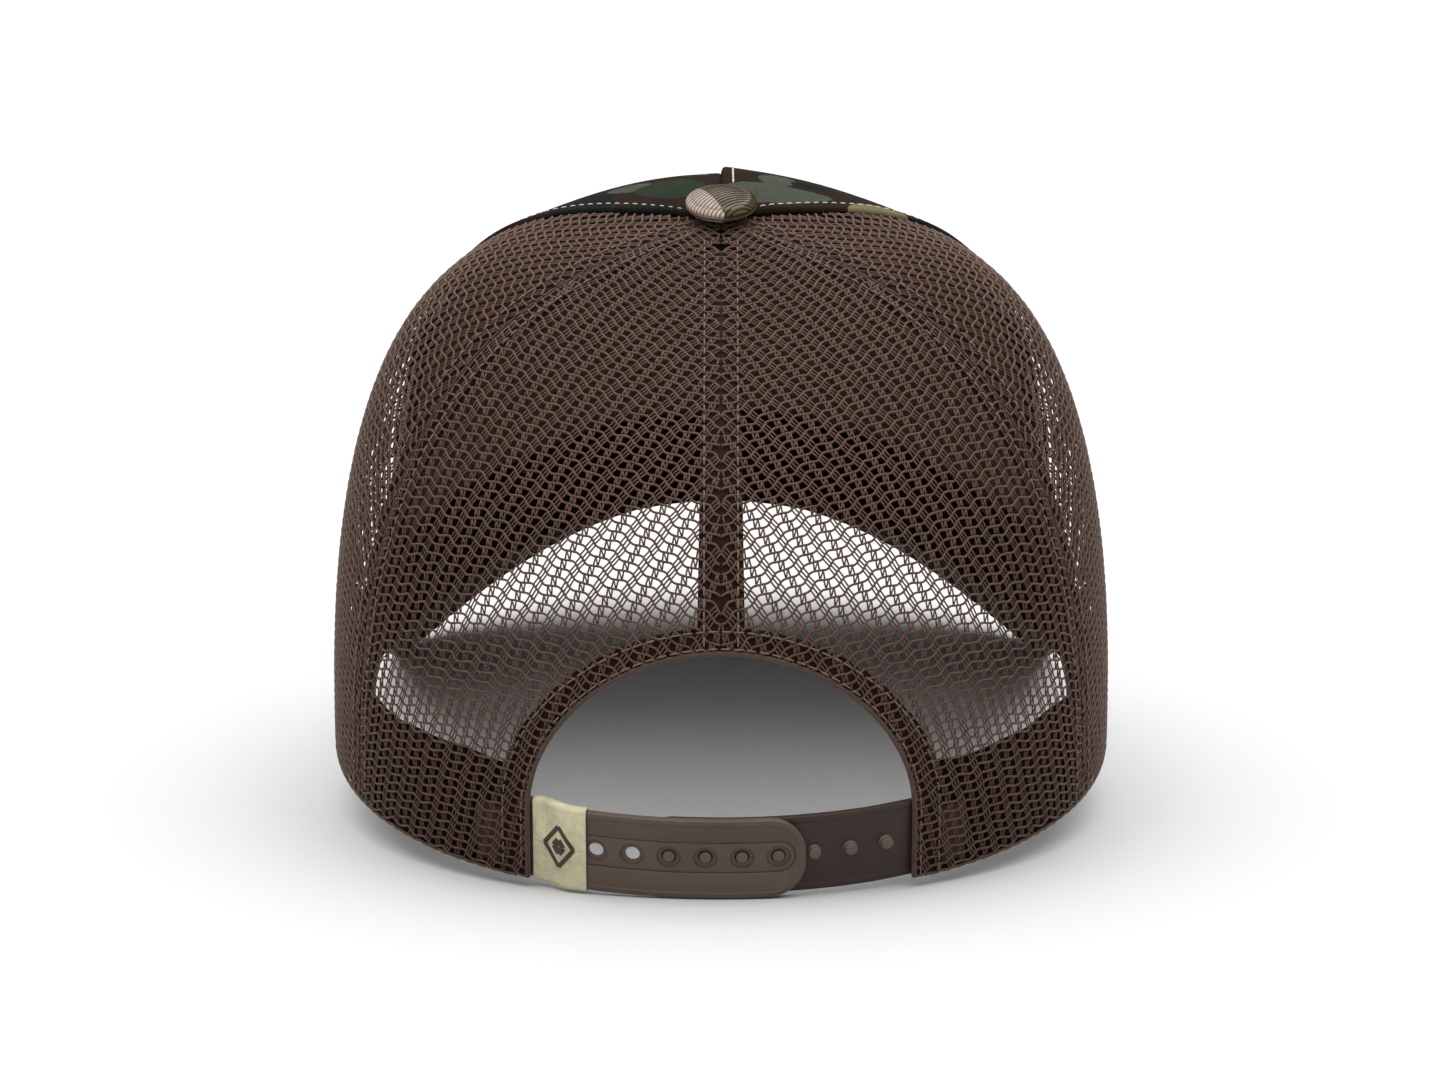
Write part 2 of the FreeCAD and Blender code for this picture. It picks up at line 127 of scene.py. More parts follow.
def level_crown(azimuth, rise):
    """Outer surface of the level crown, for arrays of azimuth and rise in degrees."""
    t, r = np.radians(azimuth), np.radians(rise)
    c = np.cos(t)
    rear, front = np.where(c > 0, c * c, 0.0), np.where(c < 0, c * c, 0.0)
    side = 1 - rear - front
    inward = rear * REAR_POWER[0] + side * SIDE_POWER[0] + front * FRONT_POWER[0]
    upward = rear * REAR_POWER[1] + side * SIDE_POWER[1] + front * FRONT_POWER[1]
    out = np.maximum(np.cos(r), 0.0) ** inward
    up = np.maximum(np.sin(r), 0.0) ** upward
    x = HALF_WIDTH * np.sin(t) * (1 + EGG * c) * out
    y = APEX_Y * (1 - out) + HALF_LENGTH * c * out
    z = CROWN_HEIGHT * up + front * (FRONT_ARCH * (1 - up) + FRONT_BULGE * 4 * out * (1 - out))
    return np.stack([x, y, z], axis=-1)


def crown_tables():
    """Points and normals of the crown on an even grid of azimuth and share of the meridian."""
    azimuths = np.linspace(-180.0, 180.0, 721)
    k = np.linspace(0.0, 1.0, 241)
    rises = 90.0 * (1 - (1 - k ** 1.5) ** 3)
    az, rise = np.meshgrid(azimuths, rises, indexing="ij")
    points = level_crown(az, rise)
    steps = np.linalg.norm(np.diff(points, axis=1), axis=2)
    run = np.concatenate([np.zeros((len(azimuths), 1)), np.cumsum(steps, axis=1)], axis=1)
    shares = np.linspace(0.0, 1.0, 401)
    even = np.stack([np.interp(shares * row[-1], row, rises) for row in run])
    points = level_crown(np.repeat(azimuths[:, None], len(shares), axis=1), even)
    across = np.gradient(points, axis=0)
    along = np.gradient(points, axis=1)
    normals = np.cross(along, across)
    normals /= np.maximum(np.linalg.norm(normals, axis=2, keepdims=True), 1e-9)
    normals[:, -1] = normals[:, -2]
    return azimuths, run[:, -1], points, normals


AZIMUTHS, LENGTHS, POINTS, NORMALS = crown_tables()


def around(azimuth):
    """Brings azimuths that run past the middle of the front back into the tables' range."""
    return np.mod(azimuth + 180.0, 360.0) - 180.0


def panel_length(azimuth):
    return np.interp(around(azimuth), AZIMUTHS, LENGTHS)


def on_crown(azimuth, height, depth=0.0):
    """Level points and outward normals at azimuth, height of cloth above the hem, and depth."""
    azimuth, height, depth = np.broadcast_arrays(azimuth, height, depth)
    i = (around(azimuth) + 180.0) * 2.0
    j = height / panel_length(azimuth) * 400.0
    i0 = np.floor(i).astype(int)
    j0 = np.clip(np.floor(j), 0, 399).astype(int)
    fi, fj = (i - i0)[..., None], (j - j0)[..., None]

    def mixed(table):
        low = table[i0, j0] * (1 - fi) + table[i0 + 1, j0] * fi
        high = table[i0, j0 + 1] * (1 - fi) + table[i0 + 1, j0 + 1] * fi
        return low * (1 - fj) + high * fj

    normal = mixed(NORMALS)
    normal /= np.linalg.norm(normal, axis=-1, keepdims=True)
    return mixed(POINTS) - normal * depth[..., None], normal


def standing(level):
    """Level crown millimetres to metres in the shared frame, with the crown tipped back."""
    level = np.asarray(level, float)
    y, z = level[..., 1] - HALF_LENGTH, level[..., 2]
    cos, sin = math.cos(TIP_BACK), math.sin(TIP_BACK)
    turned = [level[..., 0], HALF_LENGTH + y * cos + z * sin + SHIFT_Y, z * cos - y * sin]
    return np.stack(turned, axis=-1) * 0.001


def leaned(normal):
    """Turns level directions with the tipped crown."""
    y, z = normal[..., 1], normal[..., 2]
    cos, sin = math.cos(TIP_BACK), math.sin(TIP_BACK)
    return np.stack([normal[..., 0], y * cos + z * sin, z * cos - y * sin], axis=-1)


def crown_path(azimuth, height, depth):
    """Points on the crown in metres of the shared frame, and directions out of the cloth."""
    level, up = on_crown(azimuth, height, depth)
    return standing(level), leaned(up)


def crown_layers(azimuth, height, depths):
    """The same grid of places on the crown at several depths."""
    return [standing(on_crown(azimuth, height, depth)[0]) for depth in depths]


def arch_height(x):
    """Height of the rear opening's edge over a place x in the level crown."""
    inside = np.clip(1 - (x / ARCH_HALF_WIDTH) ** 2, 0, None)
    return np.where(inside > 0, ARCH_STRAIGHT + ARCH_RISE * np.sqrt(inside), -10.0)


# ---------------------------------------------------------------- mesh helpers

def new_piece(name, mesh, material, node=None, uv=None, strap=None, sharp=None):
    """Smooth piece from (vertices, faces) in metres, riding on the crown, or baked in place and
    left unattached if it belongs to a strap.

    node is what it replaces in the CAD model, and uv is one pair for each vertex."""
    vertices, faces = mesh
    made = bpy.data.meshes.new(name)
    made.from_pydata(np.asarray(vertices).reshape(-1, 3).tolist(), [], faces)
    made.validate()
    if uv is not None:
        layer = made.uv_layers.new(name="cloth")
        index = np.zeros(len(made.loops), np.int32)
        made.loops.foreach_get("vertex_index", index)
        layer.data.foreach_set("uv", np.asarray(uv, np.float32).reshape(-1, 2)[index].ravel())
    made.polygons.foreach_set("use_smooth", [True] * len(made.polygons))
    if sharp:
        made.set_sharp_from_angle(angle=math.radians(sharp))
    made.materials.append(material)
    piece = bpy.data.objects.new(name, made)
    bpy.context.scene.collection.objects.link(piece)
    if strap:
        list(flex_line(strap))
        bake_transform(piece)
    else:
        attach(piece, "crown")
    if node:
        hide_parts(node)
    return piece


def new_pair(name, mesh, material, node=None):
    """A piece on the left side, and its mirror image on the right."""
    return [new_piece(f"{name}_{side}", half, material, node and f"{node}_{side}")
            for side, half in (("left", mesh), ("right", mirrored(mesh)))]


def new_sheet(name, layers, uv, material, node, side=1):
    """Cloth between an outer and an inner grid of points, mirrored to the right if side is -1."""
    vertices, faces = sheet_mesh(*[layer * (side, 1, 1) for layer in layers])
    if side < 0:
        faces = [face[::-1] for face in faces]
    return new_piece(name, (vertices, faces), material, node, np.concatenate([uv, uv]))


def recolour(nodes, material):
    """Gives pieces of the CAD model that stay in view their own material."""
    for node in nodes:
        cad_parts[node].data.materials.clear()
        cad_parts[node].data.materials.append(material)


def smooth(value, low, high):
    """Share of the way from low to high, eased at both ends."""
    share = np.clip((value - low) / (high - low), 0, 1)
    return share * share * (3 - 2 * share)


def grid_faces(rows, columns, start=0, flip=False):
    """Quads of a grid of points, counted on from start."""
    i, j = np.meshgrid(np.arange(rows - 1), np.arange(columns - 1), indexing="ij")
    a = (start + i * columns + j).ravel()
    quads = np.stack([a, a + 1, a + columns + 1, a + columns], axis=1)
    return (quads[:, ::-1] if flip else quads).tolist()


def lathe_faces(rows, sectors):
    """Quads between rings of points, and a cap on the first and on the last ring."""
    k = np.arange(sectors)
    after = (k + 1) % sectors
    walls = [np.stack([i * sectors + k, (i + 1) * sectors + k, (i + 1) * sectors + after,
                       i * sectors + after], axis=1) for i in range(rows - 1)]
    return np.concatenate(walls).tolist() + [k.tolist(), ((rows - 1) * sectors + k[::-1]).tolist()]


def sheet_mesh(outer, inner):
    """Closed sheet between two grids of points: vertices and faces."""
    rows, columns = outer.shape[:2]
    count = rows * columns
    faces = grid_faces(rows, columns) + grid_faces(rows, columns, count, flip=True)
    index = np.arange(count).reshape(rows, columns)
    rim = np.concatenate([index[0], index[1:, -1], index[-1, -2::-1], index[-2:0:-1, 0]])
    after = np.roll(rim, -1)
    faces += np.stack([after, rim, rim + count, after + count], axis=1).tolist()
    return np.concatenate([outer.reshape(-1, 3), inner.reshape(-1, 3)]), faces


def tubes(paths, ups, radius, sides, flat=1.0):
    """Round yarns along paths (count, steps, 3), closed at both ends: vertices and faces.

    ups are directions out of the cloth, and flat is the yarn's height over its width."""
    count, steps = paths.shape[:2]
    tangents = np.gradient(paths, axis=1)
    tangents /= np.maximum(np.linalg.norm(tangents, axis=2, keepdims=True), 1e-12)
    sideways = np.cross(tangents, ups)
    sideways /= np.maximum(np.linalg.norm(sideways, axis=2, keepdims=True), 1e-12)
    ups = np.cross(sideways, tangents)
    radius = np.broadcast_to(np.asarray(radius, float), (count, steps))[..., None, None]
    turn = np.arange(sides) * 2 * math.pi / sides
    ring = (sideways[:, :, None] * np.cos(turn)[:, None]
            + ups[:, :, None] * np.sin(turn)[:, None] * flat)
    vertices = (paths[:, :, None] + ring * radius).reshape(-1, 3)
    base = (np.arange(count) * steps * sides)[:, None, None]
    i = (np.arange(steps - 1) * sides)[None, :, None]
    k = np.arange(sides)[None, None, :]
    after = (k + 1) % sides
    first = base + i
    walls = np.stack([first + k, first + after, first + sides + after, first + sides + k], axis=-1)
    faces = walls.reshape(-1, 4).tolist()
    start = base[:, 0, 0][:, None] + np.arange(sides)[None, ::-1]
    end = base[:, 0, 0][:, None] + (steps - 1) * sides + np.arange(sides)[None, :]
    return vertices, faces + start.tolist() + end.tolist()


def joined(meshes):
    """Several (vertices, faces) as one."""
    vertices, faces, start = [], [], 0
    for points, polygons in meshes:
        vertices.append(points)
        faces += [[index + start for index in polygon] for polygon in polygons]
        start += len(points)
    return np.concatenate(vertices), faces


def mirrored(mesh):
    """The mesh on the other side of the cap."""
    vertices, faces = mesh
    return np.array(vertices) * (-1, 1, 1), [face[::-1] for face in faces]


def crown_yarn(azimuth, height, depth, radius, sides):
    """Yarn along a path on the crown, with its radius in millimetres."""
    path, up = crown_path(azimuth, height, depth)
    return tubes(path[None], up[None], radius * 0.001, sides)


def run_along(points):
    """Distance along a path to each of its points."""
    return np.concatenate([[0], np.cumsum(np.linalg.norm(np.diff(points, axis=0), axis=1))])


def along_path(points, run, places):
    """Points at distances along a path."""
    return np.stack([np.interp(places, run, column) for column in points.T], axis=-1)


def stitch_row(points, normals, length, gap, radius):
    """Stitches along a path in metres: each rises out of the cloth and dips in at both ends."""
    run = run_along(points)
    count = int(run[-1] / (length + gap))
    starts = (np.arange(count) + 0.5) * (length + gap) - length / 2
    t = np.linspace(0, 1, 6)
    places = starts[:, None] + t[None, :] * length
    up = along_path(normals, run, places)
    lift = radius * (0.75 - 1.6 * np.abs(2 * t - 1) ** 4)
    return tubes(along_path(points, run, places) + up * lift[None, :, None], up, radius, 6)


# ---------------------------------------------------------------- materials

def srgb(*channels):
    """Linear colour of 8-bit display values."""
    linear = [c / 255 / 12.92 if c <= 10 else ((c / 255 + 0.055) / 1.055) ** 2.4 for c in channels]
    return (*linear, 1.0)


class Shader:
    """A principled material and the few nodes that its cloth, thread or plastic needs."""

    def __init__(self, name, color, roughness, specular=0.12, sheen=0.0):
        self.material = bpy.data.materials.new(name)
        self.material.use_nodes = True
        self.tree = self.material.node_tree
        self.surface = self.tree.nodes["Principled BSDF"]
        self.surface.inputs["Base Color"].default_value = color
        self.surface.inputs["Roughness"].default_value = roughness
        self.surface.inputs["Specular IOR Level"].default_value = specular
        self.surface.inputs["Sheen Weight"].default_value = sheen
        self.surface.inputs["Sheen Roughness"].default_value = 0.6

    def node(self, kind, inputs=(), **settings):
        made = self.tree.nodes.new(kind)
        for key, value in settings.items():
            setattr(made, key, value)
        for key, value in dict(inputs).items():
            if isinstance(value, bpy.types.NodeSocket):
                self.tree.links.new(value, made.inputs[key])
            else:
                made.inputs[key].default_value = value
        return made

    def place(self, offset=(0, 0, 0)):
        """Coordinates in metres on the object."""
        coordinates = self.node("ShaderNodeTexCoord").outputs["Object"]
        return self.node("ShaderNodeVectorMath", {0: coordinates, 1: offset}).outputs[0]

    def noise(self, size, offset=(0, 0, 0), detail=2.0, distortion=0.0):
        """Noise whose blobs are about size millimetres across."""
        inputs = {"Vector": self.place(offset), "Scale": 1000.0 / size, "Detail": detail,
                  "Distortion": distortion}
        return self.node("ShaderNodeTexNoise", inputs).outputs["Fac"]

    def cloth_wave(self, pitch, turn):
        """Ribs of the given pitch in millimetres along the cloth's own directions."""
        uv = self.node("ShaderNodeUVMap", uv_map="cloth").outputs["UV"]
        inputs = {"Vector": uv, "Rotation": (0, 0, math.radians(turn))}
        turned = self.node("ShaderNodeMapping", inputs)
        inputs = {"Vector": turned.outputs["Vector"], "Scale": math.pi / 10 / pitch}
        return self.node("ShaderNodeTexWave", inputs).outputs["Fac"]

    def math(self, operation, first, second):
        return self.node("ShaderNodeMath", {0: first, 1: second}, operation=operation).outputs[0]

    def blend(self, share, first, second):
        """First colour where share is 0, second where it is 1."""
        inputs = {0: share, 6: first, 7: second}
        return self.node("ShaderNodeMix", inputs, data_type="RGBA").outputs[2]

    def scaled(self, value, low, high, to_low=0.0, to_high=1.0):
        inputs = {"Value": value, "From Min": low, "From Max": high,
                  "To Min": to_low, "To Max": to_high}
        return self.node("ShaderNodeMapRange", inputs).outputs["Result"]

    def dimmed(self, color, share):
        """The colour times a share."""
        inputs = {0: color, "Scale": share}
        return self.node("ShaderNodeVectorMath", inputs, operation="SCALE").outputs[0]

    def mottled(self, color, amount, size):
        """The colour made unevenly lighter and darker, by amount of itself."""
        share = self.scaled(self.noise(size), 0.3, 0.7)
        dark = tuple(c * (1 - amount) for c in color[:3]) + (1.0,)
        light = tuple(min(1.0, c * (1 + amount)) for c in color[:3]) + (1.0,)
        return self.blend(share, dark, light)

    def colored(self, socket):
        self.tree.links.new(socket, self.surface.inputs["Base Color"])
        return self

    def bumped(self, height, depth):
        """Relief of the given depth in millimetres."""
        inputs = {"Height": height, "Distance": depth * 0.001, "Strength": 1.0}
        bump = self.node("ShaderNodeBump", inputs)
        self.tree.links.new(bump.outputs["Normal"], self.surface.inputs["Normal"])
        return self


NET_BROWN = srgb(76, 54, 42)
TAPE_BROWN = srgb(32, 18, 11)
# STRAP_SHADED is painted shade: a darker copy of the strap's plastic, used for the pegged half
STRAP_BROWN, STRAP_SHADED = srgb(80, 66, 58), srgb(49, 36, 30)
CHARCOAL = srgb(36, 36, 36)
PALE_THREAD = srgb(180, 176, 166)
CREAM_THREAD = srgb(214, 206, 178)
CAMO_BROWN, CAMO_BLACK = srgb(38, 28, 22), srgb(23, 26, 24)
CAMO_GREEN, CAMO_GREY = srgb(39, 46, 35), srgb(66, 69, 61)
CAMO_KHAKI = srgb(104, 98, 72)


def yarn_material(name, color, mottle=0.25):
    shader = Shader(name, color, 0.62, sheen=0.1)
    shader.colored(shader.mottled(color, mottle, 1.6))
    return shader.bumped(shader.noise(0.35), 0.05).material


def woven_material(name, color, pitch, depth=0.12, sheen=0.04):
    """Plain weave: two sets of threads across each other, with painted shade where both dip."""
    shader = Shader(name, color, 0.82, sheen=sheen)
    across, along = shader.cloth_wave(pitch, 0), shader.cloth_wave(pitch, 90)
    height = shader.math("MAXIMUM", across, along)
    base = shader.mottled(color, 0.18, 3.0)
    # painted shade: the cloth darkens where neither set of threads is high
    dark = shader.blend(0.5, base, tuple(c * 0.35 for c in color[:3]) + (1.0,))
    shader.colored(shader.blend(shader.scaled(height, 0.35, 0.8), dark, base))
    return shader.bumped(height, depth).material


# blobs of the print behind the button: paint, and centre and radii (x, y) in millimetres
CROWN_BLOBS = (
    (CAMO_BROWN, (0.0, 25.0), (66.0, 19.0)),
    (CAMO_BLACK, (32.0, 21.0), (7.5, 11.0)),
    (CAMO_GREY, (20.5, 14.5), (5.5, 3.4)),
    (CAMO_GREEN, (11.5, 17.5), (8.6, 5.4)),
    (CAMO_BLACK, (17.5, 28.0), (8.5, 2.2)),
    (CAMO_GREY, (-12.5, 22.0), (12.5, 4.8)),
    (CAMO_GREY, (-13.0, 14.0), (4.5, 4.0)),
    (CAMO_BLACK, (-21.0, 14.6), (5.5, 2.4)),
    (CAMO_KHAKI, (-36.0, 26.5), (6.6, 5.8)),
    (CAMO_BLACK, (-50.5, 27.0), (6.5, 6.5)),
    (CAMO_KHAKI, (45.5, 33.5), (5.5, 4.5)),
)
BLOB_TOP, BLOB_TALL = 130.0, 40.0


def camo_material(name):
    """Printed twill: smooth blobs of five colours, and the twill's slanting ribs, with painted
    shade between the ribs.
    """
    shader = Shader(name, CAMO_BROWN, 0.9, specular=0.05)
    layers = (
        (CAMO_GREY, 34.0, (0.030, 0.011, 0.020), 0.535),
        (CAMO_GREEN, 30.0, (0.171, 0.060, 0.035), 0.545),
        (CAMO_BLACK, 24.0, (0.310, 0.220, 0.010), 0.590),
        (CAMO_KHAKI, 22.0, (0.450, 0.310, 0.090), 0.640),
    )
    color = CAMO_BROWN
    for paint, size, offset, edge in layers:
        blob = shader.noise(size, offset, detail=1.0, distortion=0.35)
        color = shader.blend(shader.scaled(blob, edge - 0.004, edge + 0.004), color, paint)
    uneven = shader.math("MULTIPLY", shader.noise(9.0), 0.7)
    for paint, centre, radii in CROWN_BLOBS:
        beside = shader.place([-c * 0.001 for c in (*centre, BLOB_TOP)])
        away = shader.node("ShaderNodeVectorMath", operation="MULTIPLY",
                           inputs={0: beside, 1: [1000 / r for r in (*radii, BLOB_TALL)]})
        reach = shader.node("ShaderNodeVectorMath", {0: away.outputs[0]}, operation="LENGTH")
        edge = shader.math("ADD", reach.outputs["Value"], uneven)
        color = shader.blend(shader.scaled(edge, 1.34, 1.36), paint, color)
    ribs = shader.cloth_wave(0.62, 52)
    # painted shade between the twill's ribs, times an uneven tone at random
    painted_rib_shade_and_mottle = shader.math("MULTIPLY", shader.scaled(ribs, 0.0, 1.0, 0.72, 1.08),
                       shader.scaled(shader.noise(2.2), 0.3, 0.7, 0.9, 1.1))
    return shader.colored(shader.dimmed(color, painted_rib_shade_and_mottle)).bumped(ribs, 0.10).material


def plastic_material(name, color):
    """Moulded soft plastic: satin, with a faint grain and uneven gloss."""
    shader = Shader(name, color, 0.45, specular=0.3)
    shader.colored(shader.mottled(color, 0.07, 12.0))
    gloss = shader.scaled(shader.noise(5.0), 0.3, 0.7, 0.40, 0.52)
    shader.tree.links.new(gloss, shader.surface.inputs["Roughness"])
    return shader.bumped(shader.noise(0.5, detail=4.0), 0.012).material


def button_material(name):
    """Cord cloth printed in two colours that meet along a slanting line, with painted shade between
    its cords.
    """
    shader = Shader(name, srgb(120, 112, 88), 0.85, specular=0.05)
    apart = shader.node("ShaderNodeSeparateXYZ", {0: shader.place((0, -BUTTON_CENTRE_Y, 0))})
    slant = shader.math("ADD", shader.math("MULTIPLY", apart.outputs[0], 0.89),
                        shader.math("MULTIPLY", apart.outputs[1], 0.456))
    share = shader.scaled(slant, 0.00275, 0.00291)
    olive = shader.mottled(srgb(70, 62, 38), 0.15, 1.5)
    pink = shader.mottled(srgb(170, 153, 141), 0.10, 1.5)
    # painted shade: the print darkens between the cords
    cord = shader.scaled(shader.cloth_wave(BUTTON_CORD, 0), 0.0, 0.6, 0.30, 1.0)
    ribbed = shader.dimmed(shader.blend(share, olive, pink), cord)
    return shader.colored(ribbed).bumped(shader.noise(0.3), 0.05).material


def lacquer_material(name):
    """Thin pressed sheet under dark brown lacquer."""
    shader = Shader(name, srgb(66, 52, 46), 0.4, specular=0.5)
    shader.colored(shader.mottled(srgb(66, 52, 46), 0.1, 3.0))
    return shader.bumped(shader.noise(0.8), 0.01).material


BUTTON_CENTRE_Y = float(np.mean([corner[1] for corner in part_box("button_cover")]))

net_yarn = yarn_material("net_yarn", NET_BROWN)
brown_tape_plain = yarn_material("brown_tape_edge", srgb(70, 52, 44), 0.15)
camo_twill_plain = yarn_material("rim_cloth", srgb(48, 42, 35), 0.2)
brown_tape = woven_material("brown_tape", TAPE_BROWN, 0.55)
sweat_cloth = woven_material("sweat_cloth", srgb(24, 11, 5), 0.45, sheen=0.0)
camo_twill = camo_material("camo_twill")
buckram_cloth = woven_material("buckram_cloth", srgb(98, 70, 55), 0.8, 0.2)
charcoal_cloth = woven_material("charcoal_cloth", CHARCOAL, 0.4)
strap_plastic = plastic_material("strap_plastic", STRAP_BROWN)
shaded_plastic = plastic_material("strap_plastic_shaded", STRAP_SHADED)
# painted highlight: a lighter copy of the strap's plastic for the pegs
peg_plastic_painted_highlight = plastic_material("peg_plastic_painted_highlight", srgb(88, 74, 66))
label_weave = woven_material("label_weave", srgb(204, 197, 164), 0.32, 0.08)
# thread of the label's diamond, also used for the painted shadow ring under the button's edge
mark_and_shadow_thread = yarn_material("mark_and_shadow_thread", srgb(72, 54, 46), 0.1)
brown_thread = yarn_material("brown_thread", srgb(100, 80, 68), 0.12)
pale_thread = yarn_material("pale_thread", PALE_THREAD, 0.08)
cream_thread = yarn_material("cream_thread", CREAM_THREAD, 0.08)
charcoal_thread = yarn_material("charcoal_thread", srgb(82, 80, 76), 0.1)
button_cloth = button_material("button_cloth")
pressed_metal = lacquer_material("pressed_metal")
visor_board = plastic_material("visor_board", srgb(70, 70, 70))


# ---------------------------------------------------------------- knitted net panels

class Panel:
    """Flat cut of a crown panel: s runs towards lower azimuth, t up the middle, from the hem."""

    def __init__(self, first, last, with_arch):
        self.first, self.last, self.with_arch = first, last, with_arch
        self.middle = (first + last) / 2
        azimuths = np.linspace(first, last, 40)[:, None]
        self.shares = np.linspace(0.0, 1.0, 101)
        points, _ = on_crown(azimuths, self.shares * panel_length(azimuths))
        self.widths = np.linalg.norm(np.diff(points, axis=0), axis=2).sum(axis=0)
        self.length = float(panel_length(self.middle))

    def per_degree(self, share):
        """Width of cloth for each degree of azimuth, at a share of the panel's length."""
        return np.interp(share, self.shares, self.widths) / (self.last - self.first)

    def spot(self, s, t):
        """Azimuth and height of a place on the straight-grained cloth, with slight unevenness."""
        t = t + (GRAIN_SLOPE + GRAIN_BEND * s) * s
        s = s + 0.16 * np.sin(t * 0.31 + s * 0.11) + 0.10 * np.sin(t * 0.93 - s * 0.42)
        t = t + 0.13 * np.sin(s * 0.37 + t * 0.08) + 0.08 * np.sin(s * 1.13 + t * 0.55)
        share = t / self.length
        azimuth = self.middle - s / np.maximum(self.per_degree(share), 0.05)
        return azimuth, share * panel_length(azimuth)

    def inside(self, azimuth, height):
        """Whether places lie on the panel, clear of its seams, the hem and the rear opening."""
        share = np.clip(height / panel_length(azimuth), 0, 1)
        gap = np.where(azimuth < REAR_SEAM / 2, MIDDLE_GAP, SEAM_GAP)
        gap = gap / np.maximum(self.per_degree(share), 0.05)
        held = (azimuth > self.first + gap) & (azimuth < self.last - gap) & (height > 0.25)
        held &= height < panel_length(azimuth) - APEX_HOLE
        if self.with_arch:
            level, _ = on_crown(azimuth, height)
            held &= level[..., 2] > arch_height(level[..., 0])
        return held


def row_place(n, b):
    """Place on the cloth of row yarn n, b in half cells along it.

    Every two half cells the yarn runs level over an upright tie and then slopes down by a row."""
    turns = np.floor(b / 2)
    rows = turns + smooth(b - 2 * turns, 0.55, 1.80) - n
    return b * HALF_CELL + rows * ROW_STEP[0], rows * ROW_STEP[1]


def row_numbers(panel):
    """Numbers of all rows that could cross the panel."""
    return np.arange(-30, int(panel.length / -ROW_STEP[1]) + 40)


def net_rows(panel):
    """Row yarns, cut where they leave the panel."""
    per_step = HALF_CELL + ROW_STEP[0] / 2
    reach = panel.widths.max() / 2 + 10
    meshes = []
    for n in row_numbers(panel):
        middle = n * ROW_STEP[0]
        b = np.arange((middle - reach) / per_step, (middle + reach) / per_step, 0.13)
        azimuth, height = panel.spot(*row_place(n, b))
        held = panel.inside(azimuth, height)
        edges = np.flatnonzero(np.diff(np.concatenate([[0], held.astype(int), [0]])))
        for start, stop in edges.reshape(-1, 2):
            if stop - start < 5:
                continue
            depth = 0.34 + 0.05 * np.sin(b[start:stop] * 5.3 + n)
            meshes.append(crown_yarn(azimuth[start:stop], height[start:stop], depth, ROW_YARN_R, 5))
    return meshes


# the plies of a cell: places along the lower and the upper row, radius and depth
TIES = (
    (0.10, -0.13, PLY_R, 0.42), (0.42, 0.18, PLY_R, 0.42), (0.42, -0.12, LACE_R, 0.34),
    (0.86, 0.96, PLY_R, 0.36), (1.10, 1.20, PLY_R, 0.42), (1.34, 1.44, PLY_R, 0.36),
)


def net_ties(panel):
    """Plies between one row and the next: a laced upright pair, then three slanting together."""
    reach = panel.widths.max() / 2 + 3 * HALF_CELL
    cells = np.meshgrid(row_numbers(panel), np.arange(-40, 41), indexing="ij")
    n, m = (index.ravel()[:, None] for index in cells)
    near = np.abs(-n * ROW_STEP[0] + m * (2 * HALF_CELL + ROW_STEP[0]))[:, 0] < reach
    n, m = n[near], m[near]
    meshes = []
    for low_b, high_b, radius, depth in TIES:
        ends = zip(row_place(n, low_b + 2.0 * m), row_place(n + 1, high_b + 2.0 * m))
        azimuth, height = panel.spot(*[np.concatenate(pair, axis=1) for pair in ends])
        whole = panel.inside(azimuth, height).all(axis=1)
        ties = crown_path(azimuth[whole], height[whole], depth)
        meshes.append(tubes(*ties, radius * 0.001, 4))
    return meshes


def net_piece(node, first, last, with_arch):
    """A net panel and its mirror image; the area that they are cut to is worked out but not used.
    """
    panel = Panel(first, last, with_arch)
    left = joined(net_rows(panel) + net_ties(panel))
    area = float(np.mean(panel.widths)) * panel.length * 1e-6
    if with_arch:
        area -= ARCH_HALF_WIDTH * (ARCH_STRAIGHT + ARCH_RISE * math.pi / 4) * 1e-6
    pieces = new_pair(f"{node}_net", left, net_yarn, node)


net_piece("rear_mesh", 0.0, REAR_SEAM, True)
net_piece("side_mesh", REAR_SEAM, FRONT_SEAM, False)


# ---------------------------------------------------------------- tapes, binding and bands

def across_seam(azimuth, height, offset):
    """Azimuth that lies offset millimetres of cloth beside a seam, at each height."""
    one, _ = on_crown(azimuth + 0.5, height)
    other, _ = on_crown(azimuth - 0.5, height)
    return azimuth + offset / np.linalg.norm(one - other, axis=-1)


def add_tape(node, azimuth, start, depths, low_half=4.6):
    """Tape behind a seam, on both sides of the cap unless the seam runs down its middle.

    depths are of its outer and inner face, and low_half is half of its width at the start."""
    end = float(panel_length(azimuth)) - TAPE_SHORT
    height = np.linspace(start, end, 60)[:, None]
    half = low_half + (TAPE_TOP_HALF - low_half) * ((height - start) / (end - start))
    offset = half * np.linspace(-1, 1, 7)[None, :]
    height = np.broadcast_to(height, offset.shape)
    turned = across_seam(azimuth, height, offset)
    layers = crown_layers(turned, height, depths)
    uv = np.stack([offset, height], axis=-1)
    sides = (("", 1),) if azimuth in (0, 180) else (("_right", -1), ("_left", 1))
    for suffix, side in sides:
        piece = new_sheet(f"{node}_cloth{suffix}", layers, uv, brown_tape,
                          node + suffix, side)
    return piece, layers[0]


def seam_stitches(azimuth, offsets, start, end):
    """Rows of stitches along a seam, each offset millimetres beside it."""
    height = np.linspace(start, end, 240)
    paths = [crown_path(across_seam(azimuth, height, offset), height, -0.02) for offset in offsets]
    return joined([stitch_row(*path, *SEAM_STITCH) for path in paths])


def at_rear(x, z, depth):
    """Point and normal of the level crown over a place (x, z) seen square from behind."""
    x, z = np.broadcast_arrays(np.asarray(x, float), z)
    azimuth, height = x / 1.75, z.astype(float)
    for _ in range(14):
        level, _ = on_crown(azimuth, height)
        azimuth = azimuth + (x - level[..., 0]) / 1.75
        height = height + (z - level[..., 2]) * 0.95
    return on_crown(azimuth, height, depth)


